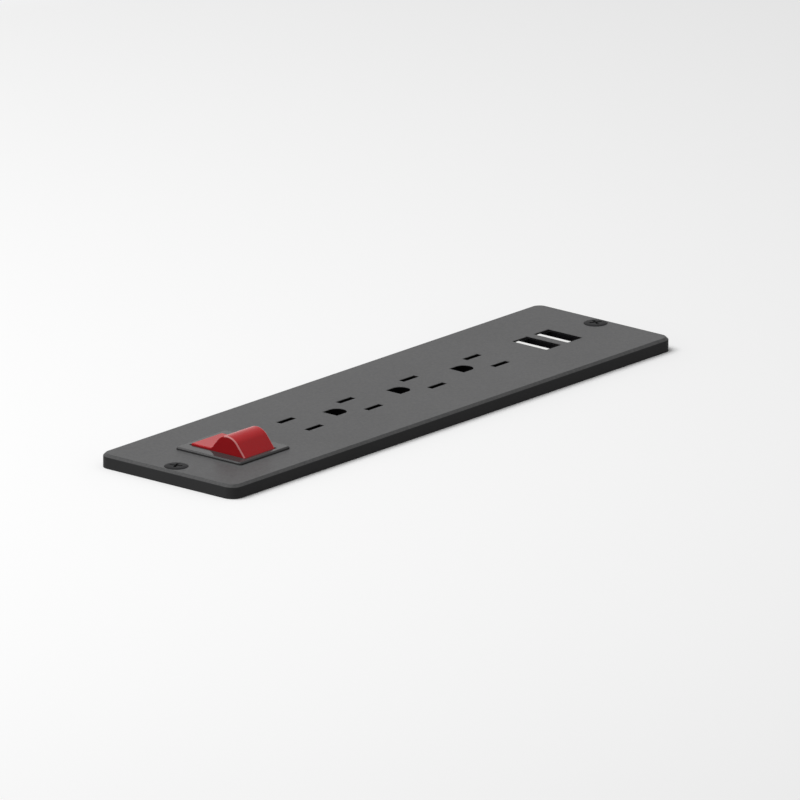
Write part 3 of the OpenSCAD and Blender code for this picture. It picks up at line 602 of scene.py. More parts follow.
@dataclass
class Faceplate(Part):
    """The flange plate with its slots, ground holes, windows and countersinks."""

    corner: float = 4.0
    corner_steps: int = 12
    chamfer: float = 0.95
    edge_round: float = 0.12
    edge_steps: int = 3
    rim: float = 0.15
    pocket_gap: float = 0.25
    pocket_steps: int = 8
    blade_y: float = 6.35
    blade_slot: Pair = (8.0, 2.2)
    ground_r: float = 3.3
    ground_flat: float = 3.9
    ground_steps: int = 14
    almost_half: float = 0.99
    bezel_lip: float = 1.0
    sink_r: float = 4.27
    sink_bottom: float = 3.0
    screw_hole_r: float = 2.3
    pillar_r: float = 3.2
    pillar_bore: Pair = (1.5, 12.0)
    pillar_bottom: float = -30.8
    posts_past: Pair = (-11.5, 5.1)
    post_r: float = 2.5
    post_bore: Pair = (1.1, 8.0)
    post_y: float = 11.5
    post_bottom: float = -13.0
    root: float = 0.3
    steep: float = 0.4
    skin: float = 0.3

    def _ground_face(self, x: float) -> Face:
        """Adds the outline of one ground hole, flat on its left and half round on its right.

        Args:
            x: The middle of the half round.

        Returns:
            The face.
        """
        right, left = self.ground_r + self.rim, self.ground_flat + self.rim
        middle = (x + (right - left) / 2, 0.0, self.layout.plate[2])
        face = self.shape.rectangle((left + right, 2 * right), middle)
        corners = [v for v in face.verts if v.co.x > x]
        return self.shape.round_corners(face, corners, self.almost_half * right, self.ground_steps)

    def _holes(self) -> tuple[list[Edge], list[Edge]]:
        """Adds every hole that goes through to the pocket.

        Returns:
            The edges in the top face, and the edges in the pocket's ceiling.
        """
        layout, top, ceiling = self.layout, [], []
        spots = [(grown(layout.bezel[:2], -self.bezel_lip), layout.pivot[:2])]
        spots += [(layout.window, (x, 0.0)) for x in layout.windows_x()]
        spots += [(self.blade_slot, (x, way * self.blade_y)) for x in layout.outlets_x for way in SIDES]
        outlines = [
            self.shape.rectangle(grown(size, self.rim), (*at, layout.plate[2])) for size, at in spots
        ]
        outlines += [self._ground_face(x) for x in layout.grounds_x()]
        for outline in outlines:
            edges, floor = self.shape.sink(outline, self.rim, layout.plate[2] - layout.tub_top)
            top += edges
            ceiling += self.shape.open_face(floor)
        return top, ceiling

    def _plate(self) -> None:
        """Shapes the plate, from its chamfered outline to the pocket in its underside."""
        shape, layout = self.shape, self.layout
        thickness = layout.plate[2]
        low_edge = (0.0, 0.0, thickness - self.chamfer)
        top = shape.rounded(layout.plate[:2], self.corner, self.corner_steps, low_edge)
        side = shape.inset(top, self.chamfer, self.chamfer)
        foot = shape.skirt(side, (0.0, 0.0, self.chamfer - thickness))
        shape.soften(side + list(top.edges), self.edge_round, self.edge_steps)
        upper = shape.open_face(shape.flat(2, thickness))
        holes, ceiling = self._holes()
        neck_r = self.screw_hole_r
        countersink = [(neck_r, 0.0), (neck_r, self.sink_bottom), (self.sink_r, thickness)]
        for way in SIDES:
            bore, mouth = shape.turned(countersink, (way * layout.screw_x, 0.0, 0.0))
            holes += mouth
            foot += bore
        shape.fill(upper + holes)
        pocket_corner = self.corner + self.pocket_gap
        pocket = shape.rounded(
            grown(layout.tub[:2], self.pocket_gap), pocket_corner, self.pocket_steps, (0.0, 0.0, 0.0)
        )
        foot += list(pocket.edges)
        roof = shape.extend(pocket, (0.0, 0.0, layout.tub_top))
        shape.fill(shape.open_face(roof) + ceiling, DOWN)
        shape.fill(foot, DOWN)

    def _number_faces(self) -> None:
        """Numbers the faces: 0 the satin top with its painted sheen, 1 the matt sides, 2 the insides of the slots,
        painted near black as shade.
        """
        bmesh.ops.recalc_face_normals(self.shape.bm, faces=self.shape.bm.faces)
        for face in self.shape.bm.faces:
            spot = face.calc_center_median()
            past = [abs(spot[axis]) - self.layout.plate[axis] / 2 for axis in (0, 1)]
            outside = max(past) > -self.skin or min(past) > -self.corner
            # Upright faces away from the outline are hole walls, which take the painted shade.
            if abs(face.normal.z) < self.steep:
                face.material_index = 1 if outside else 2
            else:
                face.material_index = 1 if spot.z < self.layout.tub_top + self.skin else 0

    def build(self) -> None:
        """Makes the plate with its pillars and posts, and puts it on the base."""
        self._plate()
        self._number_faces()
        shape, layout = self.shape, self.layout
        plate_faces = len(shape.bm.faces)
        posts = [((*at, self.pillar_bottom), self.pillar_r, self.pillar_bore) for at in layout.pillars()]
        posts += [
            ((x + past, way * self.post_y, self.post_bottom), self.post_r, self.post_bore)
            for x, past in zip(layout.windows_x(), self.posts_past) for way in SIDES
        ]
        for foot, radius, bore in posts:
            shape.bored_post(radius, bore, foot, layout.tub_top + self.root - foot[2])
        shape.bm.faces.ensure_lookup_table()
        for face in shape.bm.faces[plate_faces:]:
            face.material_index = 1
        seat(shape.piece("plate_shell", [FACE, SIDE, SLOT_PAINTED_SHADE]), "base", "face_plastic", "faceplate")


@dataclass
class RearHousing(Part):
    """The wiring tub below the plate, with its cord inlet and screw seats."""

    corner: float = 4.0
    corner_steps: tuple[int, int] = (10, 8)
    wall: float = 2.2
    edge_round: float = 1.4
    edge_steps: int = 5
    carrier_screw_x: float = 33.6
    counterbore: Pair = (3.1, 1.2)
    mouth: float = 0.25
    screw_r: float = 1.75
    screw_deep: float = 0.6
    screw_steps: int = 32
    pad_r: float = 3.4
    pad_h: float = 3.0
    pad_roof: float = 0.4
    root: float = 0.2
    inlet_z: float = -27.0
    inlet_r: float = 4.6
    inlet_mouth: float = 0.5
    collar_r: float = 6.6
    collar: float = 3.0
    collar_round: Pair = (0.4, 0.12)

    def _walls(self) -> None:
        """Shapes the tub's outside, its screw seats and its inside."""
        shape, layout = self.shape, self.layout
        top, bottom = layout.tub_top, -layout.tub[2]
        outer = shape.rounded(layout.tub[:2], self.corner, self.corner_steps[0], (0.0, 0.0, top))
        rim = list(outer.edges)
        floor = shape.extend(outer, (0.0, 0.0, bottom - top))
        shape.soften(list(floor.edges), self.edge_round, self.edge_steps)
        under = shape.open_face(shape.flat(2, bottom))
        wide, deep = self.counterbore
        blind = deep + self.screw_deep
        seat_profile = [
            (wide + self.mouth, 0.0), (wide, self.mouth), (wide, deep), (self.screw_r, deep),
            (self.screw_r, blind), (0.0, blind),
        ]
        for x, y in [*layout.pillars(), *((way * self.carrier_screw_x, 0.0) for way in SIDES)]:
            under += shape.turned(seat_profile, (x, y, bottom), steps=self.screw_steps)[0]
        shape.fill(under, DOWN)
        inner_corner = self.corner - self.wall
        inner = shape.rounded(
            grown(layout.tub[:2], -self.wall), inner_corner, self.corner_steps[1], (0.0, 0.0, top)
        )
        rim += list(inner.edges)
        shape.extend(inner, (0.0, 0.0, self.wall + bottom - top))
        shape.fill(rim)

    def _inlet(self) -> None:
        """Opens the cord inlet in the left end wall, with a collar round it."""
        shape, end = self.shape, -self.layout.tub[0] / 2
        (wide, narrow), out = self.collar_round, self.collar
        collar, bore = shape.turned(
            [
                (self.collar_r, 0.0), (self.collar_r, out - wide), (self.collar_r - narrow, out - narrow),
                (self.collar_r - wide, out), (self.inlet_r + self.inlet_mouth, out),
                (self.inlet_r, out - self.inlet_mouth), (self.inlet_r, -self.wall),
            ],
            (end, 0.0, self.inlet_z), (-1.0, 0.0, 0.0),
        )
        for place, loop, way in ((end, collar, -1.0), (end + self.wall, bore, 1.0)):
            shape.fill(shape.open_face(shape.flat(0, place)) + loop, (way, 0.0, 0.0))

    def build(self) -> None:
        """Makes the tub with a pad under each pillar, and puts it on the base."""
        self._walls()
        self._inlet()
        foot = self.wall - self.layout.tub[2] - self.root
        bore = (self.screw_r, self.pad_h - self.pad_roof)
        for x, y in self.layout.pillars():
            self.shape.bored_post(self.pad_r, bore, (x, y, foot), self.pad_h + self.root)
        seat(self.shape.piece("tub_shell", [HOUSING]), "base", "housing_plastic", "rear_housing")


@dataclass
class MountingScrews(Part):
    """The two countersunk cross-recess screws."""

    head_r: float = 4.2
    head_edge: Triple = (0.08, 0.05, 0.06)
    shoulder: Pair = (3.75, 0.22)
    crown: float = 0.35
    crown_r: float = 3.1
    shank_r: float = 2.0
    shank_bottom: float = -6.0
    core_r: float = 1.6
    core_top: float = -6.4
    neck_r: float = 1.5
    neck_soft: Pair = (0.2, 0.3)
    tip_r: float = 0.25
    tip_l: float = 4.0
    reach: float = 16.0
    turn_steps: int = 48
    thread_top: float = -6.6
    thread_turns: float = 3.5
    thread_half: float = 0.5
    thread_root: float = 0.1
    thread_steps: int = 20
    pitch: float = 1.6
    recess: Triple = (4.6, 1.0, 1.8)
    recess_rim: float = 0.06
    recess_taper: float = 0.6
    recess_cells: int = 3
    turned_deg: Pair = (24.0, 62.0)

    def _cross(self, x: float, angle_deg: float) -> Face:
        """Adds the outline of a cross recess on the crown.

        Args:
            x: The screw's place.
            angle_deg: How far the cross is turned.

        Returns:
            The face.
        """
        bm, (long, wide, _), count = self.shape.bm, self.recess, self.recess_cells
        before = set(bm.faces)
        grid = bmesh.ops.create_grid(bm, x_segments=count, y_segments=count, size=count / 2)["verts"]
        for vert in grid:
            for axis in (0, 1):
                half = long / 2 if abs(vert.co[axis]) > 1 else wide / 2
                vert.co[axis] = math.copysign(half, vert.co[axis])
        cells = set(bm.faces) - before
        corners = [f for f in cells if all(abs(c) > wide / 2 for c in f.calc_center_median()[:2])]
        bmesh.ops.delete(bm, geom=corners, context="FACES")
        bmesh.ops.dissolve_faces(bm, faces=[f for f in cells if f.is_valid], use_verts=False)
        cross = (set(bm.faces) - before).pop()
        turn = Matrix.Rotation(math.radians(angle_deg), 3, "Z")
        bmesh.ops.rotate(bm, cent=(0.0, 0.0, 0.0), verts=cross.verts, matrix=turn)
        bmesh.ops.translate(bm, vec=(x, 0.0, self.layout.plate[2] + self.crown), verts=cross.verts)
        return cross

    def _thread(self, x: float) -> None:
        """Winds a thread round the core.

        Args:
            x: The screw's place.
        """
        bm, root, half = self.shape.bm, self.core_r - self.thread_root, self.thread_half
        points = [
            bm.verts.new((x + r, 0.0, self.thread_top + z))
            for r, z in ((root, half), (self.shank_r, 0.0), (root, -half))
        ]
        section = bm.faces.new(points)
        bmesh.ops.spin(
            bm, geom=[section, *section.edges, *points], cent=(x, 0.0, 0.0), axis=UP,
            dvec=(0.0, 0.0, -self.pitch / self.thread_steps), angle=FULL_TURN * self.thread_turns,
            steps=round(self.thread_steps * self.thread_turns), use_merge=False,
            use_normal_flip=False, use_duplicate=False,
        )

    def _screw(self, x: float, angle_deg: float) -> None:
        """Adds one screw.

        Args:
            x: The screw's place.
            angle_deg: How far its recess is turned.
        """
        shape, top, reach = self.shape, self.layout.plate[2], self.reach
        slope, lip_in, lip_up = self.head_edge
        soft_in, soft_down = self.neck_soft
        _, crown = shape.turned(
            [
                (0.0, -reach), (self.tip_r, -reach), (self.core_r, self.tip_l - reach),
                (self.core_r, self.core_top), (self.shank_r, self.shank_bottom),
                (self.shank_r, -soft_down), (self.shank_r - soft_in, 0.0), (self.neck_r, 0.0),
                (self.neck_r, top - (self.head_r - self.neck_r)), (self.head_r - slope, top - slope),
                (self.head_r, top), (self.head_r - lip_in, top + lip_up),
                (self.shoulder[0], top + self.shoulder[1]), (self.crown_r, top + self.crown),
            ],
            (x, 0.0, 0.0), steps=self.turn_steps,
        )
        rim, floor = shape.sink(self._cross(x, angle_deg), self.recess_rim, self.recess[2])
        bmesh.ops.scale(
            shape.bm, vec=(self.recess_taper, self.recess_taper, 1.0), verts=floor.verts,
            space=Matrix.Translation((-x, 0.0, 0.0)),
        )
        shape.fill(crown + rim)
        self._thread(x)

    def build(self) -> None:
        """Makes both screws and puts them on the base."""
        for way, angle_deg in zip(SIDES, self.turned_deg):
            self._screw(way * self.layout.screw_x, angle_deg)
        seat(self.shape.piece("cross_screws", [OXIDE]), "base", "screw_black", "mounting_screws")


@dataclass(frozen=True)
class RockerForm:
    """The rocker's side view, which the well of its housing follows."""

    pivot: Triple
    bezel_top: float
    width: float = 16.0
    hump_y: float = -4.2
    hump_rise: float = 6.2
    crest_r: float = 5.8
    flank_deg: float = 51.0
    flat_z: float = 6.65
    skirt: float = 3.5
    rest_tilt_deg: float = 10.0
    skin: float = 0.05
    gap: Pair = (0.3, 0.35)

    @classmethod
    def of(cls, layout: Layout) -> "RockerForm":
        """Gives the form in its place on the strip."""
        return cls(pivot=layout.pivot, bezel_top=layout.plate[2] + layout.bezel[2])

    def crest_z(self) -> float:
        """Gives the height of the middle of the crest's round."""
        return self.bezel_top + self.hump_rise - self.crest_r

    def flank_top(self) -> Pair:
        """Gives the place, out from the hump's middle and up, where the crest runs into a flank."""
        slope = math.radians(self.flank_deg)
        return self.crest_r * math.sin(slope), self.crest_z() + self.crest_r * math.cos(slope)

    def flank_out(self, z: float) -> float:
        """Gives how far out from the hump's middle a flank is at some height."""
        out, top = self.flank_top()
        return out + (top - z) / math.tan(math.radians(self.flank_deg))

    def swing_r(self) -> float:
        """Gives the radius that the rocker's ends swing on."""
        foot = self.flank_out(self.bezel_top) - self.hump_y
        return math.hypot(foot, self.bezel_top - self.pivot[2]) + self.skin

    def well(self) -> Pair:
        """Gives the width and length of the opening round the rocker."""
        return self.width + 2 * self.gap[0], 2 * (self.swing_r() + self.gap[1])


@dataclass
class SwitchHousing(Part):
    """The switch's bezel frame with the body under it."""

    form: RockerForm
    corner: float = 0.8
    corner_steps: int = 5
    slope: float = 0.45
    edge_round: float = 0.1
    body_in: float = 1.2
    body_round: float = 0.6
    body_steps: int = 3
    bottom: float = -15.5
    lip: float = 0.15
    cavity_bottom: float = -13.5
    pin_hole: Pair = (1.68, 1.9)
    pin_steps: int = 28
    pole_wall: Triple = (1.4, 23.3, -3.0)
    pole_round: float = 0.2
    latch: Triple = (0.85, 8.0, 5.0)
    latch_top: float = 1.95
    latch_round: float = 0.25
    root: float = 0.3
    painted_shade_below: float = 0.2
    painted_shade_past: float = 2.0

    def _body(self) -> Pair:
        """Gives the width and length of the body under the bezel."""
        return grown(self.layout.bezel[:2], -self.body_in)

    def _outside(self) -> list[Edge]:
        """Adds the bezel's outside and the body below it.

        Returns:
            The edges round the bezel's open top.
        """
        shape, (x, y, _), top_z = self.shape, self.form.pivot, self.form.bezel_top
        wide, long, height = self.layout.bezel
        top = shape.rounded((wide, long), self.corner, self.corner_steps, (x, y, top_z - self.slope))
        side = shape.inset(top, self.slope, self.slope)
        foot = shape.skirt(side, (0.0, 0.0, self.slope - height))
        shape.soften(side + list(top.edges), self.edge_round)
        top = shape.flat(2, top_z)
        neck = shape.skirt(foot, (0.0, 0.0, 0.0))
        body = self._body()
        bmesh.ops.scale(
            shape.bm, vec=(body[0] / wide, body[1] / long, 1.0),
            verts=list({v for e in neck for v in e.verts}), space=Matrix.Translation((-x, -y, 0.0)),
        )
        under = shape.skirt(neck, (0.0, 0.0, self.bottom - (top_z - height)))
        bmesh.ops.edgeloop_fill(shape.bm, edges=under)
        shape.soften(under, self.body_round, self.body_steps)
        return shape.open_face(top)

    def _flank(self, side: int) -> None:
        """Adds the pin hole and the latch of one side.

        Args:
            side: -1 for the left side and 1 for the right side.
        """
        shape, (x, y, pivot_z) = self.shape, self.form.pivot
        wall_x = x + side * self.form.well()[0] / 2
        wall = shape.open_face(shape.flat(0, wall_x))
        hole_r, deep = self.pin_hole
        hole, _ = shape.turned(
            [(hole_r, 0.0), (hole_r, deep), (0.0, deep)], (wall_x, y, pivot_z), (side, 0.0, 0.0),
            self.pin_steps,
        )
        shape.fill(wall + hole, (-side, 0.0, 0.0))
        flank, (out, long, tall), top = self._body()[0] / 2, self.latch, self.latch_top
        low, high = sorted((x + side * (flank - self.root), x + side * (flank + out)))
        shape.block((low, y - long / 2, top - tall), (high, y + long / 2, top), self.latch_round)

    def build(self) -> None:
        """Makes the housing and puts it on the base."""
        shape, form = self.shape, self.form
        (x, y, _), top, well = form.pivot, form.bezel_top, form.well()
        rim = self._outside()
        outline = shape.rectangle(grown(well, self.lip), (x, y, top))
        mouth, _ = shape.sink(outline, self.lip, top - self.cavity_bottom)
        shape.fill(rim + mouth)
        for side in SIDES:
            self._flank(side)
        half_x, half_y = self.pole_wall[0] / 2, self.pole_wall[1] / 2
        shape.block(
            (x - half_x, y - half_y, self.cavity_bottom - self.root),
            (x + half_x, y + half_y, self.pole_wall[2]), self.pole_round,
        )
        # The inside of the well round the rocker, below its top, is painted near black as shade.
        for face in shape.bm.faces:
            spot = face.calc_center_median()
            inside_x = abs(spot.x - x) < well[0] / 2 + self.painted_shade_past
            inside_y = abs(spot.y - y) < well[1] / 2 + form.skin
            face.material_index = int(inside_x and inside_y and spot.z < top - self.painted_shade_below)
        seat(shape.piece("bezel_shell", [BEZEL, BLACK_AND_PAINTED_SHADE]), "base", "bezel_plastic", "switch_housing")


@dataclass
class Rocker(Part):
    """The red rocker, its front half a hump and its back half flat."""

    form: RockerForm
    rim_round: float = 0.42
    crease_round: float = 0.9
    round_steps: int = 4
    rim_deg: float = 35.0
    sharp_deg: float = 38.0
    highlight_above: float = 0.5
    highlight_before: float = 1.5
    trunnion: Pair = (1.6, 1.75)
    trunnion_root: float = 1.0
    pole_x: float = 4.3
    post: Pair = (2.6, -5.4)
    plunger: Triple = (1.8, -10.0, -2.0)
    plunger_gap: float = 0.1
    soft: float = 0.2
    arc_steps: int = 45
    swing_steps: int = 8
    turn_steps: int = 28

    def _skirt_turn(self, side: int) -> float:
        """Gives the angle from the pivot to one lower end of the skirt, with the rocker at rest.

        Args:
            side: -1 for the front end and 1 for the back end.

        Returns:
            The angle, from the back upwards.
        """
        below = math.asin(self.form.skirt / self.form.swing_r())
        level = math.pi + below if side < 0 else -below
        return level - math.radians(self.form.rest_tilt_deg)

    def _arc(self, start: Vert, centre: Pair, turn: float, steps: int) -> Vert:
        """Draws an arc of the side view.

        Args:
            start: Where the arc starts.
            centre: Its centre across and up.
            turn: How far it turns, from the back upwards.
            steps: Its steps.

        Returns:
            The point where it ends.
        """
        made = bmesh.ops.spin(
            self.shape.bm, geom=[start], cent=(start.co.x, *centre), axis=(1.0, 0.0, 0.0),
            dvec=(0.0, 0.0, 0.0), angle=turn, steps=steps, use_duplicate=False,
        )["geom_last"]
        return next(part for part in made if isinstance(part, Vert))

    def _outline(self) -> Face:
        """Draws the rocker's side view at its left end.

        Returns:
            The face.
        """
        form, bm = self.form, self.shape.bm
        x0, y0, z0 = form.pivot
        x, hump, swing_r = x0 - form.width / 2, y0 + form.hump_y, form.swing_r()
        front, back = self._skirt_turn(-1), self._skirt_turn(1)
        start = bm.verts.new((x, y0 + swing_r * math.cos(front), z0 + swing_r * math.sin(front)))
        foot_turn = math.pi - math.asin((form.bezel_top - z0) / swing_r)
        foot = self._arc(start, (y0, z0), foot_turn - front, self.swing_steps)
        out, high = form.flank_top()
        rise = bm.verts.new((x, hump - out, high))
        crest_turn = -2 * math.radians(form.flank_deg)
        fall = self._arc(rise, (hump, form.crest_z()), crest_turn, self.arc_steps)
        crease = bm.verts.new((x, hump + form.flank_out(form.flat_z), form.flat_z))
        lift = form.flat_z - z0
        heel = bm.verts.new((x, y0 + math.sqrt(swing_r**2 - lift**2), form.flat_z))
        end = self._arc(heel, (y0, z0), back - math.asin(lift / swing_r), self.swing_steps)
        for line in ((foot, rise), (fall, crease), (crease, heel), (end, start)):
            bm.edges.new(line)
        return bmesh.ops.edgeloop_fill(bm, edges=bm.edges)["faces"][0]

    def _round_edges(self) -> None:
        """Rounds the crease and the rims, and numbers the upper front rim of the hump 1, which carries a painted
        highlight.
        """
        shape, form = self.shape, self.form
        hump = form.pivot[1] + form.hump_y
        meet = Vector((hump + form.flank_out(form.flat_z), form.flat_z))
        creases = [e for e in shape.bm.edges if all((v.co.yz - meet).length < NEAR for v in e.verts)]
        shape.soften(creases, self.crease_round, self.round_steps)
        sharp = math.radians(self.rim_deg)
        rims = [e for e in shape.bm.edges if len(e.link_faces) == 2 and e.calc_face_angle() > sharp]
        above, before = form.flat_z + self.highlight_above, hump + self.highlight_before
        for face in shape.soften(rims, self.rim_round, self.round_steps):
            spot = face.calc_center_median()
            # The upper front part of the rim takes the paler red of the painted highlight.
            face.material_index = int(spot.z > above and spot.y < before)

    def _upright(self) -> Triple:
        """Gives the direction of the posts, tilted with the rocker at rest."""
        tilt = math.radians(self.form.rest_tilt_deg)
        return 0.0, math.sin(tilt), math.cos(tilt)

    def _pins(self) -> None:
        """Adds the trunnion of each side and the hollow post for each plunger."""
        (x, y, z), half, soft = self.form.pivot, self.form.width / 2, self.soft
        (pin_r, pin_l), root = self.trunnion, -self.trunnion_root
        pin = [(0.0, root), (pin_r, root), (pin_r, pin_l - soft), (pin_r - soft, pin_l), (0.0, pin_l)]
        (post_r, low), roof = self.post, self.plunger[2] + self.plunger_gap
        bore_r = self.plunger[0] + self.plunger_gap
        post = [(0.0, roof), (bore_r, roof), (bore_r, low), (post_r, low), (post_r, root), (0.0, root)]
        for way in SIDES:
            self.shape.turned(pin, (x + way * half, y, z), (way, 0.0, 0.0), self.turn_steps)
            self.shape.turned(post, (x + way * self.pole_x, y, z), self._upright(), self.turn_steps)

    def _plungers(self) -> None:
        """Makes the sprung plunger in each post, with a round tip."""
        shape, (x, y, z) = Shape(), self.form.pivot
        radius, tip, top = self.plunger
        turns = [math.pi / 2 * step / self.swing_steps for step in range(self.swing_steps + 1)]
        profile = [(radius * math.sin(turn), tip - radius * math.cos(turn)) for turn in turns]
        profile += [(radius, top - self.soft), (radius - self.soft, top), (0.0, top)]
        for way in SIDES:
            shape.turned(profile, (x + way * self.pole_x, y, z), self._upright(), self.turn_steps)
        seat(shape.piece("nylon_plungers", [NYLON]), "rocker", "nylon", "plungers")

    def build(self) -> None:
        """Makes the rocker and its plungers and puts them on its body."""
        shape = self.shape
        shape.extend(self._outline(), (self.form.width, 0.0, 0.0), keep=True)
        bmesh.ops.recalc_face_normals(shape.bm, faces=shape.bm.faces)
        self._round_edges()
        self._pins()
        seat(
            shape.piece("rocker_cap", [RED, RED_PAINTED_HIGHLIGHT], self.sharp_deg), "rocker", "rocker_red", "rocker"
        )
        self._plungers()


@dataclass
class UsbPorts(Part):
    """The two USB windows: black surround, white bars and the tongues inside."""

    slip: float = 0.1
    top: float = 4.9
    top_round: float = 0.12
    flange_past: Pair = (1.2, 1.0)
    flange_z: Pair = (0.8, 2.0)
    port: Pair = (5.92, 13.3)
    port_rim: float = 0.06
    bar_right: float = -1.96
    bar_back: float = 1.1
    bar_z: Pair = (2.65, 4.95)
    bar_round: float = 0.22
    tongue_x: Pair = (-1.84, 0.0)
    tongue_y: float = 5.55
    tongue_z: Triple = (-13.0, -6.0, 3.6)
    tongue_root: float = 0.5
    tongue_round: float = 0.25
    block: Pair = (2.5, 6.2)
    block_round: float = 0.2
    round_steps: int = 3

    def _surround(self) -> None:
        """Makes the black surround, a plate with a collar in each window."""
        shape, windows, window = self.shape, self.layout.windows_x(), self.layout.window
        low, deck_z = self.flange_z
        size = (
            windows[-1] - windows[0] + window[0] + 2 * self.flange_past[0],
            window[1] + 2 * self.flange_past[1],
        )
        plate = shape.rectangle(size, ((windows[0] + windows[-1]) / 2, 0.0, deck_z))
        bottom = shape.skirt(list(plate.edges), (0.0, 0.0, low - deck_z))
        upper = shape.open_face(plate)
        for window_x, port_x in zip(windows, self.layout.ports_x):
            collar = shape.rectangle(grown(window, -self.slip), (window_x, 0.0, deck_z))
            upper += list(collar.edges)
            raised = shape.extend(collar, (0.0, 0.0, self.top - deck_z))
            shape.soften(list(raised.edges), self.top_round)
            deck = shape.open_face(shape.flat(2, self.top))
            mouth = shape.rectangle(self.port, (port_x, 0.0, self.top))
            edges, floor = shape.sink(mouth, self.port_rim, self.top - low)
            shape.fill(deck + edges)
            bottom += shape.open_face(floor)
        shape.fill(upper)
        shape.fill(bottom, DOWN)
        seat(shape.piece("usb_collars", [BLACK_AND_PAINTED_SHADE]), "base", "black_plastic", "usb_surround")

    def _bars(self) -> None:
        """Makes the white bar along the left side of each window."""
        shape, (low_z, high_z) = Shape(), self.bar_z
        half_x, half_y = (side / 2 for side in self.layout.window)
        for x in self.layout.windows_x():
            shape.block(
                (x - half_x + self.slip, self.slip - half_y, low_z),
                (x + self.bar_right, half_y - self.bar_back, high_z), self.bar_round, self.round_steps,
            )
        seat(shape.piece("white_bars", [WHITE]), "base", "white_plastic", "usb_bars")

    def _tongues(self) -> None:
        """Makes the insulating tongue of each port, on its rear block."""
        shape, (left, right), (half_x, half_y) = Shape(), self.tongue_x, self.block
        rear, neck, tip = self.tongue_z
        for x in self.layout.ports_x:
            shape.block(
                (x + left, -self.tongue_y, neck - self.tongue_root), (x + right, self.tongue_y, tip),
                self.tongue_round, self.round_steps,
            )
            shape.block((x - half_x, -half_y, rear), (x + half_x, half_y, neck), self.block_round)
        seat(shape.piece("port_tongues", [WHITE]), "base", "white_plastic", "usb_tongues")

    def build(self) -> None:
        """Makes the surround, the bars and the tongues."""
        self._surround()
        self._bars()
        self._tongues()


@dataclass
class Inside:
    """The nodes whose shape stays as packed, under the finish that each has."""

    nodes: dict[Finish, tuple[str, ...]] = field(default_factory=lambda: {
        STEEL: ("housing_screws", "carrier_screws", "board_screws", "plunger_springs"),
        CREAM: ("contact_carrier",),
        BRASS: (
            "live_bus_bar", "neutral_bus_bar", "ground_bus_bar", "common_terminals",
            "switched_terminals", "usb_contacts",
        ),
        COPPER: ("left_contact_lever", "right_contact_lever"),
        SHELL_PAINTED_SHADE: ("usb_shells",),
        GREEN: ("charger_board",),
        FERRITE: ("transformer_core",),
        TAPE: ("transformer_winding",),
        SLEEVE: ("smoothing_capacitors",),
        BLACK_AND_PAINTED_SHADE: ("rectifier", "controller_chip"),
        BLACK_WIRE: ("live_lead", "charger_live_lead"),
        WHITE_WIRE: ("neutral_lead", "charger_neutral_lead"),
    })

    def dress(self) -> None:
        """Gives each of these nodes its material."""
        for finish, names in self.nodes.items():
            for name in names:
                node = frame["nodes"][name]
                if not node.material_slots:
                    node.data.materials.append(None)
                for slot in node.material_slots:
                    slot.material = finish.material()
                log.info("%s: dressed in %s", name, finish.name)


